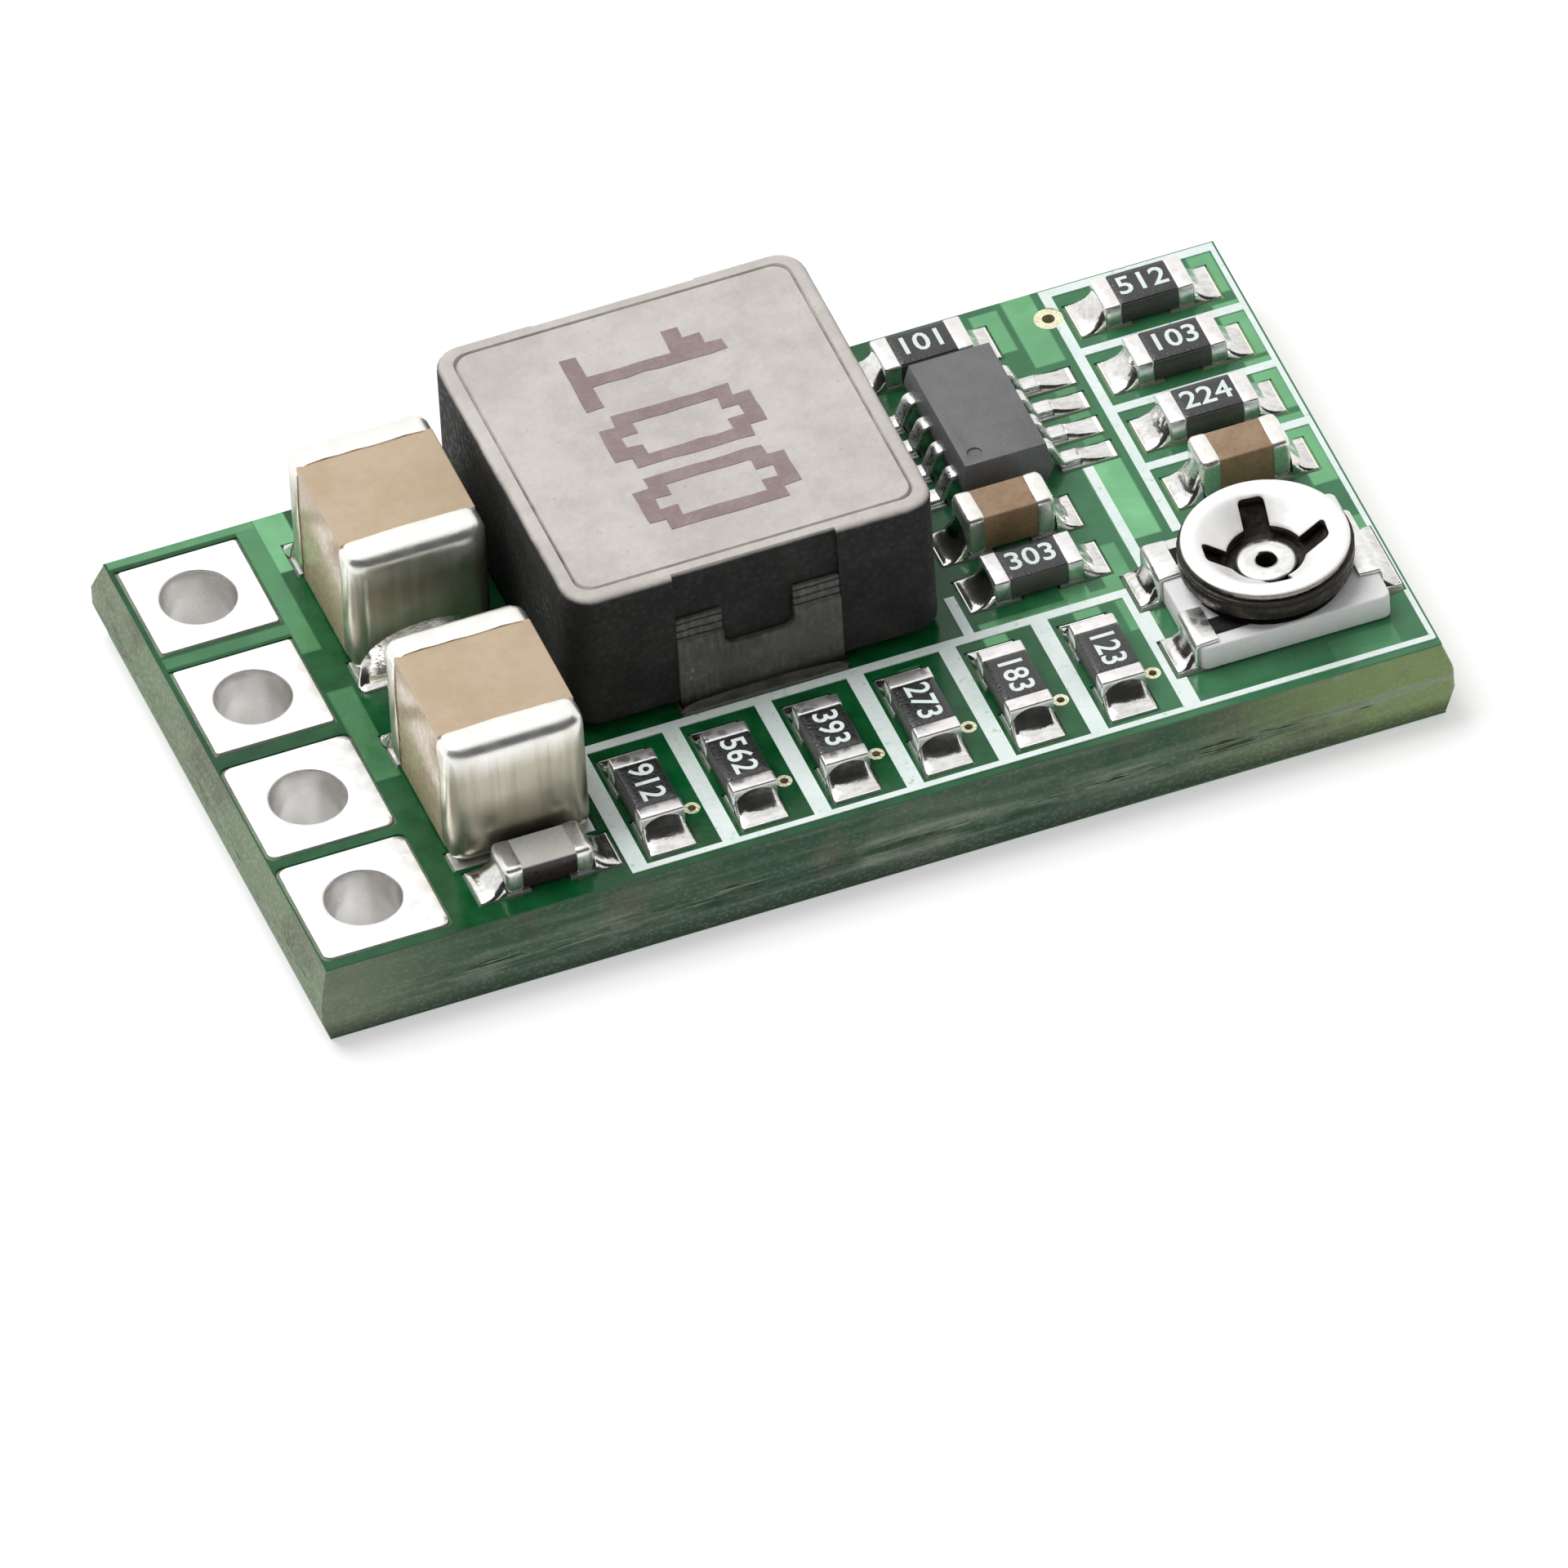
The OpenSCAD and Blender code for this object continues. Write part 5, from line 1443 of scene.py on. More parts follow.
def points_mesh(name: str, spots: Sequence[Spot]) -> bpy.types.Mesh:
    """Makes a mesh of loose points in metres, each with its turn about Z in radians."""
    made = bpy.data.meshes.new(name)
    made.from_pydata([p * MM for p, _ in spots], [], [])
    made.attributes.new("turn", "FLOAT", "POINT").data.foreach_set("value", [t for _, t in spots])
    return made


class Repeats:
    """Sets templates on points with one shared tree."""

    def __init__(self) -> None:
        """Builds the tree once."""
        self.tool = repeat_tool()

    def place(
        self,
        name: str,
        template: Shape,
        spots: Sequence[Spot],
        finish: str,
        smooth: float = 40.0,
        loose: float = 0.0,
    ) -> bpy.types.Object:
        """Makes one object of a template repeated on points.

        Args:
            name: Name of the object.
            template: The shape to repeat.
            spots: Each place, and its turn about Z in radians.
            finish: The finish of every copy.
            smooth: Edges sharper than this stay sharp.
            loose: How far each copy may turn at random, in radians.

        Returns:
            The object, not yet settled.
        """
        model = link(f"{name}_template", template.mesh(f"{name}_template"))
        made = self.tool.run(
            name, points_mesh(name, spots), Template=model, Size=1.0, Loose_Turn=loose, Seed=11,
            Finish=PALETTE.get(finish),
        )
        bpy.data.objects.remove(model)
        made.data.shade_smooth()
        made.data.set_sharp_from_angle(angle=math.radians(smooth))
        return made


# ---- Sub-assemblies ----


@dataclass
class Board:
    """The laminate with its lacquer, print, plated holes and vias."""

    ridge: float = 0.18
    pin_hole_r: float = 0.7
    small_via_r: float = 0.105
    ground_via_r: float = 0.18
    small_via_from: Flat = (0.64, -0.4)
    ground_via_from: Flat = (-1.6, 0.25)
    spacing: float = 0.1
    worn_r: float = 0.2
    web: float = 0.22
    scored: float = 0.26
    score_out: Flat = (0.088, 0.172)
    score_torn: Flat = (0.006, 0.012)
    bites: tuple[float, ...] = (0.05, 0.11, 0.07, 0.13, 0.08, 0.11, 0.04)
    strands_per_mm: int = 5
    films: tuple[tuple[str, str], ...] = (
        ("solder_mask_top", "solder_mask"),
        ("solder_mask_bottom", "solder_mask"),
        ("printed_lines", "white_print"),
        ("via_barrels", "via_ring"),
        ("component_lands", "tinned_pad"),
        ("selector_bridges", "tinned_pad"),
    )

    def build(self, repeats: Repeats) -> None:
        """Makes the laminate and the pin holes, and dresses the thin films."""
        for node, finish in self.films:
            dress_node(node, finish)
        for i in range(1, 5):
            self.pin_hole(i)
        self.laminate()
        self.fibres(repeats)

    def holes(self) -> list[list[Flat]]:
        """Returns the outline of every hole through the laminate."""
        made = []
        for i in range(1, 5):
            c = Place.of(f"board_pin_pad_{i}").centre
            made.append(arc(c.x, c.y, self.pin_hole_r, 0, 352.5, 47))
        for i in range(1, 7):
            c, (x, y) = Place.of(f"selector_resistor_{i}_ends").centre, self.small_via_from
            made.append(arc(c.x + x, c.y + y, self.small_via_r, 0, 337.5, 15))
        c, (x, y) = Place.of("divider_resistor_1_ends").centre, self.ground_via_from
        made.append(arc(c.x + x, c.y + y, self.ground_via_r, 0, 337.5, 15))
        return made

    def perimeter(self, half: Vector, out: float, z: float, torn: float) -> Loop:
        """A loop round the board's edge.

        Args:
            half: Half the length and half the width of the faces.
            out: How far it stands out past the faces.
            z: Its height.
            torn: How deep the broken glass bites into it.

        Returns:
            The loop, counter-clockwise from above.
        """
        corners = [Vector((x, y, 0)) for x, y in ((1, -1), (1, 1), (-1, 1), (-1, -1))]
        outward = [Vector((x, y, 0)) for x, y in ((1, 0), (0, 1), (-1, 0), (0, -1))]
        made = []
        for k, a in enumerate(corners):
            b = corners[(k + 1) % 4]
            start = Vector((a.x * half.x, a.y * half.y, z))
            end = Vector((b.x * half.x, b.y * half.y, z))
            n = round((end - start).length / self.spacing)
            for i in range(n):
                t = i / n
                p = self.worn((start + a * out).lerp(end + b * out, t), half, out)
                p.z = z
                fade = min(1.0, 12 * t, 12 * (1 - t))
                coarse = noise.noise(Vector((p.x * 0.8, p.y * 0.8, z * 5)))
                fine = noise.noise(Vector((p.x * 3.6, p.y * 3.6, z * 9)))
                bite = max(-1.0, min(1.0, 1.6 * (0.55 * coarse + 0.45 * fine)))
                made.append(p - outward[k] * torn * fade * (0.5 + 0.5 * bite))
        return made

    def worn(self, p: Vector, half: Vector, out: float) -> Vector:
        """Rounds the front right corner of the ridge, which is worn."""
        r = self.worn_r * out / self.ridge
        centre = Vector((half.x + out - r, -(half.y + out - r), 0))
        away = Vector((p.x - centre.x, p.y - centre.y, 0))
        if away.x > 0 > away.y and away.length > r > 0:
            return centre + away.normalized() * r
        return p

    def laminate(self) -> None:
        """Makes the laminate: scored slopes, a torn ridge between them and every hole."""
        place = Place.of("circuit_board")
        half = place.size / 2 - Vector((self.ridge, self.ridge, 0))
        low, high = place.low.z, place.high.z
        middle, web = (low + high) / 2, self.web
        (out_1, out_2), (torn_1, torn_2) = self.score_out, self.score_torn
        rows = [(low, 0.0, 0.0), (low + self.scored, out_1, torn_1), (middle - web, out_2, torn_2)]
        for i, torn in enumerate(self.bites):
            rows.append((middle - web + 2 * web * (i + 0.5) / len(self.bites), self.ridge, torn))
        rows += [
            (middle + web, out_2, torn_2), (high - self.scored, out_1, torn_1), (high, 0.0, 0.0)
        ]
        loops = [self.perimeter(half, out, z, torn) for z, out, torn in rows]
        shape = Shape()
        shape.add([p for loop in loops for p in loop], wall_faces(len(loops), len(loops[0])))
        holes = self.holes()
        outline = [(p.x, p.y) for p in loops[-1]]
        flat, faces = fill(outline, holes)
        shape.add([Vector((x, y, high)) for x, y in flat], faces)
        shape.add([Vector((x, y, low)) for x, y in flat], [tuple(reversed(f)) for f in faces])
        for hole in holes:
            walls = [Vector((x, y, z)) for z in (low, high) for x, y in hole]
            shape.add(walls, wall_faces(2, len(hole)))
        make_piece("board_laminate", shape, ["laminate"], replaces=["circuit_board"], smooth=28)

    def fibres(self, repeats: Repeats) -> None:
        """Lays torn glass strands along the ridge."""
        place = Place.of("circuit_board")
        middle = place.centre.z
        strand = Shape()
        angles = [2 * math.pi * i / 6 for i in range(6)]
        profile = ((-0.42, 0.006), (-0.3, 0.016), (0.1, 0.019), (0.32, 0.013), (0.45, 0.005))
        strand.loft(
            [[Vector((x, r * math.cos(a), r * math.sin(a))) for a in angles] for x, r in profile]
        )
        spots = []
        for k, (length, across) in enumerate(
            ((place.size.x, place.size.y), (place.size.y, place.size.x)) * 2
        ):
            bearing = math.radians(90 * k - 90)
            outward = Vector((math.cos(bearing), math.sin(bearing), 0))
            along = Vector((-outward.y, outward.x, 0))
            count = round(length * self.strands_per_mm)
            for i in range(count):
                seed = Vector((i * 0.73, k * 5.1, 2.3))
                s = (i + 0.5) / count - 0.5 + 0.02 * noise.noise(seed)
                z = middle + 0.2 * noise.noise(seed * 1.9)
                if noise.noise(seed * 0.21) > -0.12 and abs(s) < 0.47:
                    reach = across / 2 - 0.05 - 0.03 * abs(noise.noise(seed * 3.3))
                    spot = along * s * (
                        length - 2 * self.ridge
                    ) + outward * reach + Vector((0, 0, z))
                    spots.append((spot, bearing + math.pi / 2))
        made = repeats.place("board_glass_strands", strand, spots, "glass_strand", 60, 0.06)
        settle(made)

    def pin_hole(self, number: int) -> bpy.types.Object:
        """Makes one plated pin hole: flat pads, rolled lips and the barrel between.

        Args:
            number: Which of the four, from the back.

        Returns:
            The piece.
        """
        node = f"board_pin_pad_{number}"
        place = Place.of(node)
        corner = 0.05 if number < 3 else 0.16
        bore, wall, lip = 0.65, 0.05, 0.05
        low, high, under = place.low.z, place.high.z, 0.06
        outline = rounded_rect(place.size.x, place.size.y, corner, 0.0, 4, 14)
        bearings = [math.atan2(p.y, p.x) for p in outline]

        def circle(r: float, z: float) -> Loop:
            """A loop round the hole."""
            return [Vector((r * math.cos(a), r * math.sin(a), z)) for a in bearings]

        def ring(share: float, z: float) -> Loop:
            """A loop between the hole at share 0 and the pad's outline at share 1."""
            return [
                q.lerp(Vector((p.x, p.y, z)), share)
                for p, q in zip(outline, circle(bore + lip, z))
            ]

        loops = [
            ring(1.0, high - under), ring(1.0, high - 0.02), ring(0.985, high - 0.004),
            ring(0.9, high),
        ]
        loops += [ring(s, high) for s in (0.6, 0.2, 0.0)]
        for t in (30, 60, 90):
            a = math.radians(t)
            loops.append(circle(bore + lip * (1 - math.sin(a)), high - lip * (1 - math.cos(a))))
        for k in range(1, 9):
            loops.append(circle(bore, high - lip - (high - low - 2 * lip) * k / 9))
        for t in (90, 60, 30):
            a = math.radians(t)
            loops.append(circle(bore + lip * (1 - math.sin(a)), low + lip * (1 - math.cos(a))))
        loops += [ring(s, low) for s in (0.0, 0.2, 0.6, 0.9)]
        loops += [
            ring(0.985, low + 0.004), ring(1.0, low + 0.02), ring(1.0, low + under),
            circle(bore + wall, low + under), circle(bore + wall, high - under),
        ]
        shape = Shape()
        shape.loft(loops, ring=True)
        n = len(outline)
        for k in range(9, 19):
            for i in range(n):
                shape.finishes[k * n + i] = 1
        made = shape.moved(offset(place.centre.x, place.centre.y))
        return make_piece(
            f"pin_hole_{number}", made, ["tinned_pad", "barrel"], replaces=[node], smooth=50,
        )


@dataclass
class Inductor:
    """The moulded inductor: pressed block, terminals and its printed value."""

    corner: float = 0.5
    edge: float = 0.13
    line_inset: float = 0.26
    line_corner: float = 0.3
    line: float = 0.06
    pocket: float = 0.1
    terminal_w: float = 2.92
    digit_h: float = 2.7
    ink: float = 0.012
    value: str = "100"
    coil_in: float = 1.2
    coil_out: float = 2.45
    tail_w: float = 1.25
    tail_t: float = 0.15
    tail_z: float = 2.46

    DIGITS = {
        "0": ("01110", "11011", "10001", "10001", "10001", "10001", "10001", "11011", "01110"),
        "1": ("00100", "01100", "11100", "00100", "00100", "00100", "00100", "00100", "11111"),
    }

    def build(self) -> None:
        """Makes the block, the terminals and the marking."""
        place = Place.of("inductor_block")
        size = place.size.copy()
        size.z -= self.ink
        loops = soft_block_loops(size.x, size.y, size.z, self.corner, self.edge, 5, 0.06)
        z, inset = size.z, self.line_inset
        for extra, drop in (
            (0.0, 0.0), (0.012, self.line * 0.7), (self.line * 0.5, self.line),
            (self.line - 0.012, self.line * 0.7), (self.line, 0.0),
        ):
            loops.append(
                rounded_rect(
                    size.x - 2 * (inset + extra), size.y - 2 * (inset + extra), self.line_corner,
                    z - drop,
                )
            )
        loops.append(rounded_rect(size.x - 2, size.y - 2, self.line_corner, z))
        shape = Shape()
        shape.loft(loops)
        shape = shape.moved(offset(place.centre.x, place.centre.y, place.low.z))
        piece = link("inductor_moulding", shape.mesh("inductor_moulding"))
        for side in (-1, 1):
            cutter = block(self.terminal_w, 1.0, size.z * 2, 0.02)
            y = place.centre.y + side * (size.y / 2 - self.pocket + 0.5)
            cut_away(piece, cutter.moved(offset(place.centre.x, y, place.low.z - size.z / 2)))
        self.hollow(piece, place.centre)
        dress(piece.data, ["inductor_moulding"], 40.0)
        settle(piece, replaces=["inductor_block"])
        self.winding(place.centre)
        for side in ("front", "rear"):
            soft_copy(
                f"inductor_terminal_{side}", f"inductor_strip_{side}", "tinned_terminal", 0.03
            )
        self.mark(place)

    def tails(self, middle: Vector, grow: float) -> list[Shape]:
        """The two flat ends of the winding, which run out to the terminals."""
        coil = Place.of("inductor_winding")
        made = []
        for side in (-1, 1):
            y0, y1 = (self.coil_out - 0.1), coil.size.y / 2 + grow
            tail = block(self.tail_w + 2 * grow, y1 - y0, self.tail_t + 2 * grow, 0.03, 1)
            made.append(
                tail.moved(offset(middle.x, middle.y + side * (y0 + y1) / 2, self.tail_z - grow))
            )
        return made

    def hollow(self, piece: bpy.types.Object, middle: Vector) -> None:
        """Opens the room for the winding inside the block."""
        coil = Place.of("inductor_winding")
        low, high = coil.low.z, coil.high.z
        room = Shape()
        room.lathe(
            [
                (self.coil_in, low), (self.coil_out, low), (self.coil_out, high),
                (self.coil_in, high),
            ],
            64,
        )
        cut_away(piece, room.moved(offset(middle.x, middle.y)))
        for tail in self.tails(middle, 0.005):
            cut_away(piece, tail)

    def winding(self, middle: Vector) -> None:
        """Winds the coil's layers inside the block, and its flat ends."""
        coil = Place.of("inductor_winding")
        tool = NodesTool(
            "wound_coil",
            [
                ("Layers Inner", "Float", 0.0013), ("Layers Outer", "Float", 0.0023),
                ("Turns", "Float", 4.5), ("Rise", "Float", 0.0013), ("Wire", "Float", 0.00014),
                ("Centre", "Vector", None), ("Finish", "Material", None),
            ],
        )
        g, given = tool.g, tool.given
        joined = g.node("GeometryNodeJoinGeometry")
        wire = g.node("GeometryNodeCurvePrimitiveCircle")
        wire.inputs["Resolution"].default_value = 8
        g.feed(wire.inputs["Radius"], given.outputs["Wire"])
        for k in range(4):
            r = g.math(
                "MULTIPLY_ADD",
                g.math("SUBTRACT", given.outputs["Layers Outer"], given.outputs["Layers Inner"]),
                k / 3, given.outputs["Layers Inner"],
            )
            spiral = g.node("GeometryNodeCurveSpiral")
            spiral.inputs["Resolution"].default_value = 28
            g.feed(spiral.inputs["Rotations"], given.outputs["Turns"])
            g.feed(spiral.inputs["Start Radius"], r)
            g.feed(spiral.inputs["End Radius"], r)
            g.feed(spiral.inputs["Height"], given.outputs["Rise"])
            tube = g.node("GeometryNodeCurveToMesh")
            g.feed(tube.inputs["Curve"], spiral.outputs[0])
            g.feed(tube.inputs["Profile Curve"], wire.outputs[0])
            tube.inputs["Fill Caps"].default_value = True
            g.feed(joined.inputs[0], tube.outputs[0])
        moved = g.node("GeometryNodeTransform")
        g.feed(moved.inputs["Geometry"], joined.outputs[0])
        g.feed(moved.inputs["Translation"], given.outputs["Centre"])
        tool.finish(moved.outputs[0])
        inset = 0.16
        rise = coil.high.z - coil.low.z - 2 * inset
        start = bpy.data.meshes.new("inductor_wound_coil")
        made = tool.run(
            "inductor_wound_coil", start,
            Layers_Inner=(self.coil_in + inset) * MM, Layers_Outer=(self.coil_out - inset) * MM,
            Turns=4.5, Rise=rise * MM, Wire=0.14 * MM,
            Centre=(middle.x * MM, middle.y * MM, (coil.low.z + inset) * MM),
            Finish=PALETTE.get("copper_winding"),
        )
        made.data.shade_smooth()
        settle(made, replaces=["inductor_winding"])
        ends = Shape()
        for tail in self.tails(middle, 0.0):
            ends.join(tail)
        make_piece("inductor_winding_ends", ends, ["copper_winding"])

    def mark(self, place: Place) -> None:
        """Prints the value in square dots that run together, read from the chip's side."""
        step, across = self.digit_h / 9, self.digit_h / 10
        cells: set[tuple[int, int]] = set()
        for k, digit in enumerate(self.value):
            for row, bits in enumerate(self.DIGITS[digit]):
                cells |= {(row, 6 * k + col) for col, bit in enumerate(bits) if bit == "1"}
        low, high = place.high.z - self.ink * 1.5, place.high.z
        made = Shape()

        def corner(row: int, col: int, z: float) -> Vector:
            """A corner of the dots, a little uneven."""
            shake = 0.035 * noise.noise(Vector((row * 1.7, col * 2.3, 0.4)))
            return Vector(
                (
                    place.centre.x + self.digit_h / 2 - row * step + shake,
                    place.centre.y + 8.5 * across - col * across + shake, z,
                )
            )

        def wall(row: int, col: int, to_row: int, to_col: int) -> None:
            """The edge of the ink between two corners."""
            made.add(
                [
                    corner(row, col, low), corner(to_row, to_col, low),
                    corner(to_row, to_col, high), corner(row, col, high),
                ],
                [(0, 1, 2, 3)],
            )

        for r, c in sorted(cells):
            for z in (low, high):
                made.add(
                    [
                        corner(r, c, z), corner(r + 1, c, z), corner(r + 1, c + 1, z),
                        corner(r, c + 1, z),
                    ],
                    [(0, 1, 2, 3)],
                )
            for dr, dc, ends in (
                (-1, 0, (r, c, r, c + 1)), (1, 0, (r + 1, c, r + 1, c + 1)),
                (0, -1, (r, c, r + 1, c)), (0, 1, (r, c + 1, r + 1, c + 1)),
            ):
                if (r + dr, c + dc) not in cells:
                    wall(*ends)
        make_piece("inductor_value", made, ["value_ink"])


@dataclass
class Capacitor:
    """A ceramic capacitor: a fired block between two dipped end caps."""

    name: str
    finish: str
    end: float
    corner: float
    edge: float
    inset: float = 0.03
    cap_finish: str = "silver_cap"

    def build(self) -> None:
        """Makes the block and the caps."""
        whole = Place.of(f"{self.name}_ends")
        high, seat = whole.size.z, whole.seat()
        body = block(
            whole.long - 2 * self.end + 2 * self.inset,
            whole.wide - 2 * self.inset,
            high - 2 * self.inset,
            0.03,
        )
        body = body.moved(offset(0, 0, self.inset))
        make_piece(
            f"{self.name}_ceramic", body.moved(seat), [self.finish], replaces=[f"{self.name}_body"],
        )
        caps = Shape()
        for side in (-1, 1):
            caps.join(self.cap(side, whole.long, whole.wide, high))
        make_piece(
            f"{self.name}_caps", caps.moved(seat), [self.cap_finish],
            replaces=[f"{self.name}_ends"], smooth=60,
        )

    def cap(self, side: int, long: float, wide: float, high: float) -> Shape:
        """Makes one cap: a rounded cup whose rim wanders a little, as a dipped one does.

        Args:
            side: -1 or 1, the end of the capacitor.
            long: Length of the whole capacitor.
            wide: Its width.
            high: Its height.

        Returns:
            The cap's shape.
        """
        loops: list[Loop] = []
        wander = self.end * 0.09

        def rim(x: float, grow: float, wave: float) -> Loop:
            """A loop round the block's section at a distance from its middle."""
            made = []
            for p in rounded_rect(wide + 2 * grow, high + 2 * grow, self.edge, 0.0, 5, 6):
                shift = wave * noise.noise(Vector((p.x * 1.7, p.y * 1.7, side * 3.1 + long)))
                made.append(Vector((side * (x + shift), p.x, p.y + high / 2)))
            return made

        outer = long / 2
        start = outer - self.end
        loops.append(rim(start, -self.inset * 1.05, wander))
        loops.append(rim(start, -self.inset * 0.4, wander))
        loops.append(rim(start + 0.02, -0.004, wander))
        loops.append(rim(start + 0.08, 0.0, wander * 0.8))
        loops.append(rim(outer - self.corner, 0.0, 0.0))
        for i in range(1, 6):
            a = math.pi / 2 * i / 5
            loops.append(
                rim(
                    outer - self.corner * (1 - math.sin(a)),
                    -self.corner * (1 - math.cos(a)) * 0.999, 0.0,
                )
            )
        made = Shape()
        made.loft(loops)
        return made


@dataclass
class ChipResistor:
    """A chip resistor: alumina with a black coat, its value, and plated ends."""

    name: str
    value: str
    end: float = 0.3

    def build(self) -> list[Spot]:
        """Makes the chip and its digits.

        Returns:
            The places and turns of its two plated ends.
        """
        whole = Place.of(f"{self.name}_ends")
        long, wide, high = whole.long, whole.wide, whole.size.z
        seat = whole.seat()
        shape = Shape()
        core = block(long - 2 * self.end + 0.02, wide - 0.02, high - 0.05, 0.015, 2)
        shape.join(core.moved(offset(0, 0, 0.015)))
        top = high - 0.04
        coat = Shape()
        flat = long - 2 * self.end
        rows = ((0.02, 0.05, 0.0), (0.02, 0.06, 0.03), (-0.04, 0.12, 0.045), (-0.2, 0.3, 0.05))
        coat.loft([rounded_rect(flat + x, wide - y, 0.03, top + z, 3) for x, y, z in rows], 1)
        shape.join(coat)
        shape = shape.moved(seat)
        # painted shade: the core takes the dark alumina finish
        make_piece(
            f"{self.name}_chip", shape, ["alumina", "resistor_glass"], replaces=[self.name],
        )
        turn = math.pi if whole.lies_along_y else 0.0
        self.digits(seat @ Matrix.Rotation(turn, 4, "Z"), top + 0.05)
        return whole.ends()

    def digits(self, seat: Matrix, z: float) -> None:
        """Prints the value on the coat."""
        curve = bpy.data.curves.new(f"{self.name}_value", "FONT")
        curve.body, curve.size = self.value, 0.6
        curve.align_x, curve.align_y = "CENTER", "CENTER"
        curve.extrude, curve.resolution_u, curve.offset = 0.004, 3, 0.008
        text = bpy.data.objects.new(f"{self.name}_value", curve)
        bpy.context.scene.collection.objects.link(text)
        bpy.context.view_layer.update()
        mesh = bpy.data.meshes.new_from_object(
            text.evaluated_get(bpy.context.evaluated_depsgraph_get())
        )
        bpy.data.objects.remove(text)
        mesh.transform(Matrix.Scale(MM, 4) @ seat @ offset(0, 0, z))
        dress(mesh, ["white_print"], 0.0)
        settle(link(f"{self.name}_digits", mesh))


@dataclass
class Plating:
    """The plated ends of every chip resistor, one template repeated."""

    end: float = 0.3
    wide: float = 0.8
    high: float = 0.45

    def build(self, repeats: Repeats, spots: Sequence[Spot], nodes: Sequence[str]) -> None:
        """Sets an end on each place."""
        cap = block(self.end, self.wide, self.high, 0.045)
        cap = cap.moved(offset(-self.end / 2, 0))
        made = repeats.place("resistor_plated_ends", cap, spots, "resistor_plating")
        settle(made, replaces=nodes)


@dataclass(frozen=True)
class Joint:
    """A soldered end: its place, the way it faces, and its size."""

    spot: Vector
    turn: float
    wide: float
    reach: float
    height: float
    hollow: float = 2.4
    skirt: float = 0.035

    def shape(self, across: int = 12, along: int = 12) -> Shape:
        """Makes the hollow-faced fillet, highest against the chip.

        Args:
            across: Faces over its width.
            along: Faces from the chip to the land's end.

        Returns:
            The shape in place.
        """
        top: list[Vector] = []
        for i in range(along + 1):
            u = i / along
            for j in range(across + 1):
                v = math.sin(math.pi / 2 * (2 * j / across - 1))
                side = math.sqrt(max(1 - abs(v) ** 5, 0.0))
                body = self.height * (1 - u) ** self.hollow * (0.82 + 0.18 * math.cos(2.2 * v))
                body += self.skirt * math.sqrt(max(1 - u**5, 0.0))
                spread = self.wide * (1 + 0.04 * math.sin(math.pi * u))
                top.append(Vector((self.reach * u, spread * v / 2, body * side)))
        row = across + 1
        faces: list[tuple[int, ...]] = []
        for i in range(along):
            for j in range(across):
                a = i * row + j
                faces.append((a, a + row, a + row + 1, a + 1))
        low = len(top)
        floor = [Vector((0, p.y, 0)) for p in top[:row]]
        points = top + floor
        for j in range(across):
            faces.append((j, j + 1, low + j + 1, low + j))
        edge = [low + j for j in range(row)]
        edge += [i * row + across for i in range(1, along + 1)]
        edge += [along * row + j for j in range(across - 1, -1, -1)]
        edge += [i * row for i in range(along - 1, 0, -1)]
        faces.append(tuple(edge))
        made = Shape()
        made.add(points, faces)
        return made.moved(Matrix.Translation(self.spot) @ Matrix.Rotation(self.turn, 4, "Z"))


@dataclass
class SolderWork:
    """All the soldered joints of the board."""

    small_out: float = 0.43
    bulk_out: float = 0.31
    bulk_height: float = 0.85
    resistor_height: float = 0.36
    lead_wide: float = 0.38
    lead_height: float = 0.12

    def build(self) -> None:
        """Makes the joints of the small chips and those of the power parts."""
        self.small()
        self.power()

    def small(self) -> None:
        """Makes the joints of the small chips and of the converter's leads."""
        names = [f"selector_resistor_{i}" for i in range(1, 7)]
        names += ["supply_resistor", "sense_resistor"]
        names += [f"divider_resistor_{i}" for i in range(1, 4)]
        heights = dict.fromkeys(names, self.resistor_height)
        heights.update(boost_capacitor=0.5, divider_capacitor=0.5, bypass_capacitor=0.32)
        made = Shape()
        for name, height in heights.items():
            for joint in self.pair(f"{name}_ends", height, self.small_out):
                made.join(joint.shape())
        leads = Place.of("converter_chip_leads")
        for side, turn, reach in ((-1, math.pi, 0.2), (1, 0.0, 0.55)):
            for k in range(4):
                y = leads.centre.y + (k - 1.5) * ConverterChip.pitch
                spot = Vector((leads.centre.x + side * leads.size.x / 2, y, leads.low.z))
                joint = Joint(spot, turn, self.lead_wide, reach, self.lead_height)
                made.join(joint.shape(8, 8))
        make_piece("chip_joints", made, ["solder"], replaces=["chip_solder"], smooth=70)

    def power(self) -> None:
        """Makes the joints of the big capacitors and the feet of the inductor's terminals."""
        made = Shape()
        joints = self.pair("rear_capacitor_ends", self.bulk_height, self.bulk_out)
        joints += self.pair("front_capacitor_ends", self.bulk_height, self.bulk_out)[:1]
        for joint in joints:
            made.join(joint.shape(16, 12))
        for side, turn in (("front", -math.pi / 2), ("rear", math.pi / 2)):
            terminal = Place.of(f"inductor_terminal_{side}")
            spot = terminal.foot
            spot.y = terminal.low.y if side == "front" else terminal.high.y
            foot = Joint(spot, turn, terminal.size.x, 0.098, 0.13, 1.0, 0.008).shape(20, 6)
            # painted shade: the terminals' feet take the dark solder finish
            foot.finishes = [1] * len(foot.faces)
            made.join(foot)
        finishes = ["solder", "dull_solder"]
        make_piece("power_joints", made, finishes, replaces=["power_solder"], smooth=70)

    def pair(self, node: str, height: float, reach: float) -> list[Joint]:
        """The two joints of a part, at the ends of its longer side."""
        whole = Place.of(node)
        return [Joint(spot, turn, whole.wide, reach, height) for spot, turn in whole.ends()]


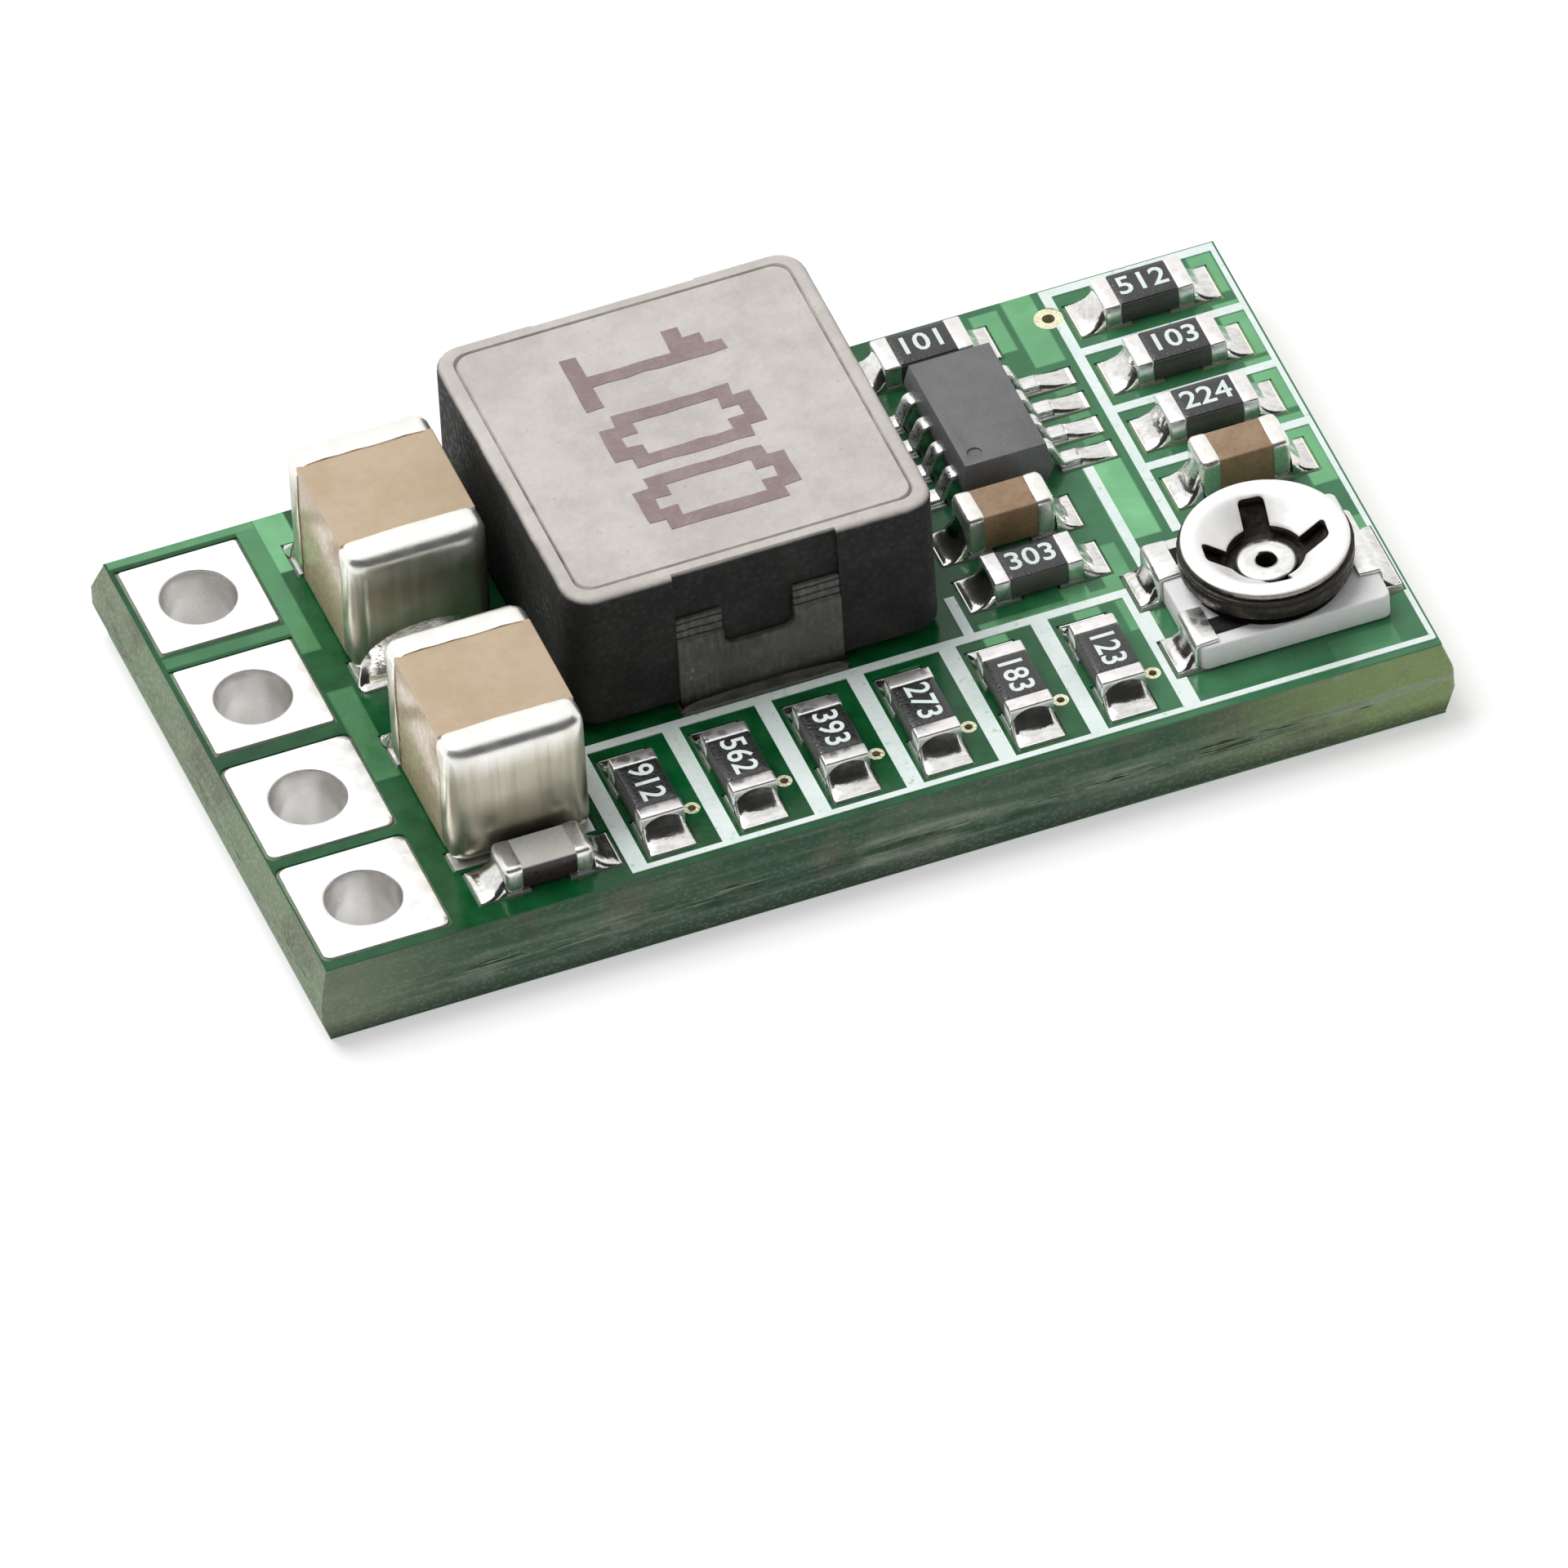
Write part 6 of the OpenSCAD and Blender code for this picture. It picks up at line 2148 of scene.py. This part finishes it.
@dataclass
class ConverterChip:
    """The converter chip: its moulded body and eight formed leads."""

    pitch: float = 0.65
    lead_w: float = 0.3
    thick: float = 0.12
    foot: float = 0.36

    def build(self, repeats: Repeats) -> None:
        """Makes the body and the leads."""
        soft_copy("converter_chip_body", "converter_moulding", "chip_epoxy", 0.03)
        place = Place.of("converter_chip_leads")
        body = Place.of("converter_chip_body")
        lead = self.lead(place.size.x / 2, body.size.x / 2, body.centre.z - place.low.z)
        spots = []
        for side in (0.0, math.pi):
            for k in range(4):
                y = place.centre.y + (k - 1.5) * self.pitch
                spots.append((Vector((place.centre.x, y, place.low.z)), side))
        made = repeats.place("converter_leads", lead, spots, "tinned_lead", 60)
        settle(made, replaces=["converter_chip_leads"])

    def lead(self, tip: float, side: float, knee: float) -> Shape:
        """Makes one gull-wing lead from the body's side to its tip.

        Args:
            tip: Distance of the tip from the chip's axis.
            side: Distance of the body's side.
            knee: Height of the lead where it leaves the body.

        Returns:
            The lead's shape.
        """
        heel = tip - self.foot
        path = [Vector((side - 0.05, 0, knee)), Vector((side + 0.02, 0, knee))]
        path += [Vector((x, 0, z)) for x, z in arc(side + 0.02, knee - 0.1, 0.1, 90, 15, 4)]
        path += [Vector((x, 0, z)) for x, z in arc(heel + 0.1, 0.16, 0.1, 195, 270, 4)]
        path += [Vector((tip - 0.02, 0, 0.06)), Vector((tip, 0, 0.06))]
        return strip(path, self.lead_w, self.thick)


@dataclass
class Trimmer:
    """The open trimmer: ceramic base, clips, track, eyelet, spring plate and dished rotor."""

    rim: float = 0.22
    sheet_t: float = 0.16
    dish: float = 0.38
    opening: float = 0.66
    slot_w: float = 0.44
    slot_reach: float = 1.05
    slot_round: float = 0.09
    turn: float = -6.5
    bore: float = 0.17
    clip_t: float = 0.08
    clip_foot: float = 0.4
    clip_top: float = 0.34
    clip_spots: tuple[tuple[float, float, float], ...] = (
        (0.0, 1.6, 0.0), (-0.875, 0.9, math.pi), (0.875, 0.9, math.pi)
    )
    track_from: float = 1.15
    track_spread: float = 1.06
    sides: int = 96
    ring_radii: tuple[float, ...] = (
        0.66, 0.72, 0.79, 0.86, 0.93, 1.0, 1.06, 1.11, 1.15, 1.19, 1.22, 1.27, 1.33, 1.37, 1.4
    )

    def build(self) -> None:
        """Makes every piece of the trimmer."""
        soft_copy("trimmer_base", "trimmer_ceramic_base", "trimmer_ceramic", 0.05, 3)
        self.track()
        soft_copy(
            "trimmer_wiper", "trimmer_spring_plate", "spring_bronze", 0.02, 2, Body.ROTOR,
        )
        self.skirt()
        self.clips()
        self.eyelet()
        self.rotor()

    def track(self) -> None:
        """Makes the printed track, spread out to the base's edge."""
        piece = soft_copy("trimmer_track", "trimmer_carbon_track", "track_carbon", 0.012, 1)
        axis = Place.of("trimmer_rotor").centre
        for v in piece.data.vertices:
            x, y = v.co.x / MM - axis.x, v.co.y / MM - axis.y
            if math.hypot(x, y) > self.track_from:
                v.co.x, v.co.y = (
                    axis.x + x * self.track_spread
                ) * MM, (axis.y + y * self.track_spread) * MM

    def skirt(self) -> None:
        """Turns the spring plate's rim down all round, over the gap to the base: a dark sheet that
        stands in for the shade in that gap.
        """
        place = Place.of("trimmer_wiper")
        r, high = place.size.x / 2, place.high.z
        made = Shape()
        rows = (
            (0.04, 0.06), (0.004, 0.08), (0.002, 0.2), (0.02, 0.36), (0.045, 0.39), (0.06, 0.36),
            (0.045, 0.2),
        )
        made.lathe([(r - inward, high - down) for inward, down in rows], self.sides)
        made = made.moved(offset(place.centre.x, place.centre.y))
        # painted shade: a dark skirt where the gap under the disc lies in shade
        make_piece(
            "trimmer_spring_skirt", made, ["spring_bronze"], Body.ROTOR, smooth=60,
        )

    def clips(self) -> None:
        """Makes the three bent clips, with the solder on their feet."""
        base = Place.of("trimmer_base")
        end, top, t = base.size.x / 2, base.size.z, self.clip_t
        bend = 0.07
        path = [Vector((end - self.clip_top, 0, top + t / 2)), Vector((end - 0.1, 0, top + t / 2))]
        path += [
            Vector((x, 0, z))
            for x, z in arc(end + t / 2 - bend, top + t / 2 - bend, bend, 90, 0, 4)
        ]
        path += [
            Vector((x, 0, z))
            for x, z in arc(end + t / 2 + bend, t / 2 + bend, bend, 180, 270, 4)
        ]
        path += [Vector((end + self.clip_foot, 0, t / 2))]
        made, work = Shape(), Shape()
        seat = offset(base.centre.x, base.centre.y, base.low.z)
        for y, width, turn in self.clip_spots:
            spin = Matrix.Rotation(turn, 4, "Z") @ offset(0, y)
            made.join(strip(path, width, t, 0.03, 0.97).moved(seat @ spin))
            foot = Joint(
                Vector((end + t, 0, t)), 0.0, width * 0.92, self.clip_foot - t - 0.02, 0.26
            )
            work.join(foot.shape(10, 8).moved(seat @ spin))
        make_piece(
            "trimmer_terminal_clips", made, ["trimmer_clip"], replaces=["trimmer_clips"], smooth=50,
        )
        make_piece("trimmer_joints", work, ["solder"], smooth=70)

    def eyelet(self) -> None:
        """Makes the flared eyelet that holds the rotor."""
        place = Place.of("trimmer_eyelet")
        r, low, high, bore = place.size.x / 2, place.low.z, place.high.z, self.bore
        barrel = 0.32
        profile = [
            (bore, low), (bore, high - 0.07), (bore + 0.012, high - 0.03),
            (bore + 0.05, high - 0.006), (bore + 0.1, high), (r - 0.12, high - 0.002),
            (r - 0.05, high - 0.014), (r - 0.012, high - 0.036), (r, high - 0.055),
            (r - 0.01, high - 0.074), (r - 0.04, high - 0.08), (barrel, high - 0.08),
            (barrel, low + 0.08), (r - 0.03, low + 0.08), (r, low + 0.05), (r, low + 0.02),
            (r - 0.02, low),
        ]
        made = Shape()
        made.lathe(profile, 64)
        # painted shade: the bore takes the near-black bronze finish
        for i in range(2 * 64):
            made.finishes[i] = 1
        made = made.moved(offset(place.centre.x, place.centre.y))
        make_piece(
            "trimmer_flared_eyelet", made, ["trimmer_clip", "spring_bronze"],
            replaces=["trimmer_eyelet"], smooth=60,
        )

    def slots(self) -> list[Flat]:
        """Returns the outline of the middle opening with its four driver slots."""
        half, reach, r = self.slot_w / 2, self.slot_reach, self.slot_round
        near = math.degrees(math.asin(half / self.opening))
        made: list[Flat] = []
        for k in range(4):
            a = math.radians(90 * k + self.turn)
            end = arc(reach - r, r - half, r, -90, 0, 4) + arc(reach - r, half - r, r, 0, 90, 4)
            made += [
                (x * math.cos(a) - y * math.sin(a), x * math.sin(a) + y * math.cos(a))
                for x, y in end
            ]
            made += arc(
                0, 0, self.opening, 90 * k + self.turn + near, 90 * (k + 1) + self.turn - near, 8
            )
        return made

    def clear(self, x: float, y: float, margin: float = 0.035) -> bool:
        """Tells whether a point is off the opening and the slots by a margin."""
        a = -math.radians(self.turn)
        u, v = abs(x * math.cos(a) - y * math.sin(a)), abs(x * math.sin(a) + y * math.cos(a))
        in_slot = min(u, v) < self.slot_w / 2 + margin and max(u, v) < self.slot_reach + margin
        return math.hypot(u, v) > self.opening + margin and not in_slot

    def rotor(self) -> None:
        """Makes the dished disc with its rolled rim and crossed slots."""
        place = Place.of("trimmer_rotor")
        outer, top = place.size.x / 2, place.high.z
        shoulder = outer - self.rim
        run, soft = shoulder - self.opening, 0.03

        def height(x: float, y: float) -> float:
            """Height of the disc's upper face."""
            r = math.hypot(x, y)
            t = max(shoulder - r, 0.0) / run
            fall = self.dish * (math.sqrt(t * t + soft) - math.sqrt(soft))
            fall /= math.sqrt(1 + soft) - math.sqrt(soft)
            return top - fall - 0.03 * max((r - outer + 0.1) / 0.1, 0.0) ** 2

        rings = []
        for k, r in enumerate(self.ring_radii):
            for i in range(self.sides):
                a = 2 * math.pi * (i + 0.5 * (k % 2)) / self.sides
                x, y = r * math.cos(a), r * math.sin(a)
                if self.clear(x, y):
                    rings.append((x, y))
        made = sheet(
            arc(0, 0, outer, 0, 360 - 360 / self.sides, self.sides - 1), [self.slots()], height,
            self.sheet_t, rings,
        )
        shape = made.moved(offset(place.centre.x, place.centre.y))
        mesh = shape.mesh("trimmer_dished_rotor")
        piece = link("trimmer_dished_rotor", mesh)
        soften(piece, 0.03, 2, 50.0)
        # painted shade: the underside and openings take the near-black bronze finish, and the rim
        # the dark edge finish
        dress(piece.data, ["rotor_steel", "spring_bronze", "rotor_edge"], 40.0)
        settle(piece, Body.ROTOR, ["trimmer_rotor"])


# ---- Studio ----


@dataclass(frozen=True)
class Camera:
    """A long lens that looks down on the board from its front left."""

    azimuth: float = -17.93
    elevation: float = 43.18
    roll: float = -3.84
    distance: float = 1.1617
    lens: float = 1600.0
    aim: Flat = (0.0002085, -0.003005)
    aim_height: float = 0.0016

    def build(self) -> None:
        """Makes the camera and sets it as the scene's."""
        a, e, r = (math.radians(v) for v in (self.azimuth, self.elevation, self.roll))
        back = Vector((math.sin(a) * math.cos(e), -math.cos(a) * math.cos(e), math.sin(e)))
        right = Vector((math.cos(a), math.sin(a), 0))
        up = back.cross(right)
        right, up = right * math.cos(r) + up * math.sin(r), up * math.cos(r) - right * math.sin(r)
        target = Vector((0, 0, self.aim_height)) + right * self.aim[0] + up * self.aim[1]
        data = bpy.data.cameras.new("camera")
        data.lens, data.sensor_width = self.lens, 36.0
        data.clip_start, data.clip_end = 0.05, 20.0
        made = bpy.data.objects.new("camera", data)
        turned = Matrix((right, up, back)).transposed().to_4x4()
        made.matrix_world = Matrix.Translation(target + back * self.distance) @ turned
        bpy.context.scene.collection.objects.link(made)
        bpy.context.scene.camera = made


@dataclass(frozen=True)
class Studio:
    """A pale floor, a pale world, one soft lamp and a dark flag."""

    sky: float = 0.46
    key: float = 1.95
    key_from: tuple[float, float, float] = (-0.35, 0.35, 1.0)
    softness: float = 40.0
    flag_far: float = 1800.0
    flag_low: float = 4.0
    flag_high: float = 62.0
    flag_half: float = 80.0
    flag_turn: float = -10.0
    floor_half: float = 3.0
    floor_sunk: float = 0.00001
    floor_glow: float = 0.42

    def seen(self, g: Graph) -> Socket:
        """Returns 1 for rays from the camera and those off metal and glass."""
        rays = g.node("ShaderNodeLightPath")
        shiny = g.math(
            "MAXIMUM", rays.outputs["Is Glossy Ray"], rays.outputs["Is Transmission Ray"]
        )
        return g.math("MAXIMUM", rays.outputs["Is Camera Ray"], shiny)

    def build(self) -> None:
        """Makes the world, the floor, the flag and the lamp."""
        world = bpy.data.worlds.new("studio")
        world.use_nodes = True
        g = Graph(world.node_tree)
        air = g.node("ShaderNodeBackground")
        out = g.node("ShaderNodeOutputWorld")
        air.inputs["Color"].default_value = (1.0, 1.0, 1.0, 1.0)
        g.feed(air.inputs["Strength"], g.span(self.seen(g), 0.0, 1.0, self.sky, 1.0))
        g.feed(out.inputs["Surface"], air.outputs[0])
        bpy.context.scene.world = world
        self.floor()
        self.flag()
        data = bpy.data.lights.new("key", "SUN")
        data.energy, data.angle = self.key, math.radians(self.softness)
        lamp = bpy.data.objects.new("key", data)
        lamp.rotation_mode = "QUATERNION"
        lamp.rotation_quaternion = Vector(self.key_from).to_track_quat("Z", "Y")
        bpy.context.scene.collection.objects.link(lamp)
        bpy.context.scene.view_settings.view_transform = "Standard"

    def flag(self) -> None:
        """Makes the dark curved flag round the front, which metal and lacquer mirror."""
        material, g, shader = plain_material("flag")
        shader.inputs["Roughness"].default_value = 1.0
        shade = g.noise(g.millimetres(), 0.01)
        g.feed(shader.inputs["Base Color"], g.mix(shade, (0.02, 0.02, 0.02), (0.05, 0.05, 0.05)))
        made = Shape()
        rows, sides, far = 6, 24, self.flag_far
        points = []
        for j in range(rows + 1):
            lift = math.radians(self.flag_low + (self.flag_high - self.flag_low) * j / rows)
            for i in range(sides + 1):
                a = math.radians(
                    -90 + self.flag_turn - self.flag_half + 2 * self.flag_half * i / sides
                )
                flat = far * math.cos(lift)
                points.append(
                    Vector((flat * math.cos(a), flat * math.sin(a), far * math.sin(lift)))
                )
        made.add(points, grid_faces(rows, sides))
        mesh = made.mesh("flag")
        mesh.materials.append(material)
        card = link("flag", mesh)
        card.visible_camera = card.visible_diffuse = card.visible_shadow = False

    def floor(self) -> None:
        """Makes the floor, which shows white and keeps the shadow."""
        material, g, shader = plain_material("floor")
        shader.inputs["Roughness"].default_value = 0.9
        shader.inputs["Specular IOR Level"].default_value = 0.1
        shade = g.noise(g.millimetres(), 0.02)
        g.feed(shader.inputs["Base Color"], g.mix(shade, (0.68, 0.68, 0.68), (0.70, 0.70, 0.70)))
        shader.inputs["Emission Color"].default_value = (1.0, 1.0, 1.0, 1.0)
        g.feed(
            shader.inputs["Emission Strength"], g.math("MULTIPLY", self.seen(g), self.floor_glow)
        )
        mesh = bpy.data.meshes.new("floor")
        steps = 6
        lines = [self.floor_half * (2 * i / steps - 1) for i in range(steps + 1)]
        points = [(x, y, -self.floor_sunk) for y in lines for x in lines]
        mesh.from_pydata(points, [], grid_faces(steps, steps))
        mesh.materials.append(material)
        made = link("floor", mesh)


SMALL_CAPACITORS = {
    "boost_capacitor": "brown_ceramic",
    "divider_capacitor": "brown_ceramic",
    "bypass_capacitor": "dark_ceramic",
}
RESISTOR_CODES = {
    "supply_resistor": "101",
    "sense_resistor": "303",
    "divider_resistor_1": "512",
    "divider_resistor_2": "103",
    "divider_resistor_3": "224",
    "selector_resistor_1": "912",
    "selector_resistor_2": "562",
    "selector_resistor_3": "393",
    "selector_resistor_4": "273",
    "selector_resistor_5": "183",
    "selector_resistor_6": "123",
}


def main() -> None:
    """Builds every sub-assembly and the studio."""
    logging.basicConfig(level=logging.INFO, format="%(message)s")
    repeats = Repeats()
    Camera().build()
    Board().build(repeats)
    Inductor().build()
    for name in ("rear_capacitor", "front_capacitor"):
        Capacitor(name, "pale_ceramic", 0.6, 0.3, 0.22, cap_finish="bulk_cap").build()
    for name, finish in SMALL_CAPACITORS.items():
        Capacitor(name, finish, 0.32, 0.12, 0.1).build()
    spots: list[Spot] = []
    for name, value in RESISTOR_CODES.items():
        spots += ChipResistor(name, value).build()
    Plating().build(repeats, spots, [f"{n}_ends" for n in RESISTOR_CODES])
    ConverterChip().build(repeats)
    SolderWork().build()
    Trimmer().build()
    Studio().build()


if __name__ == "__main__":
    main()
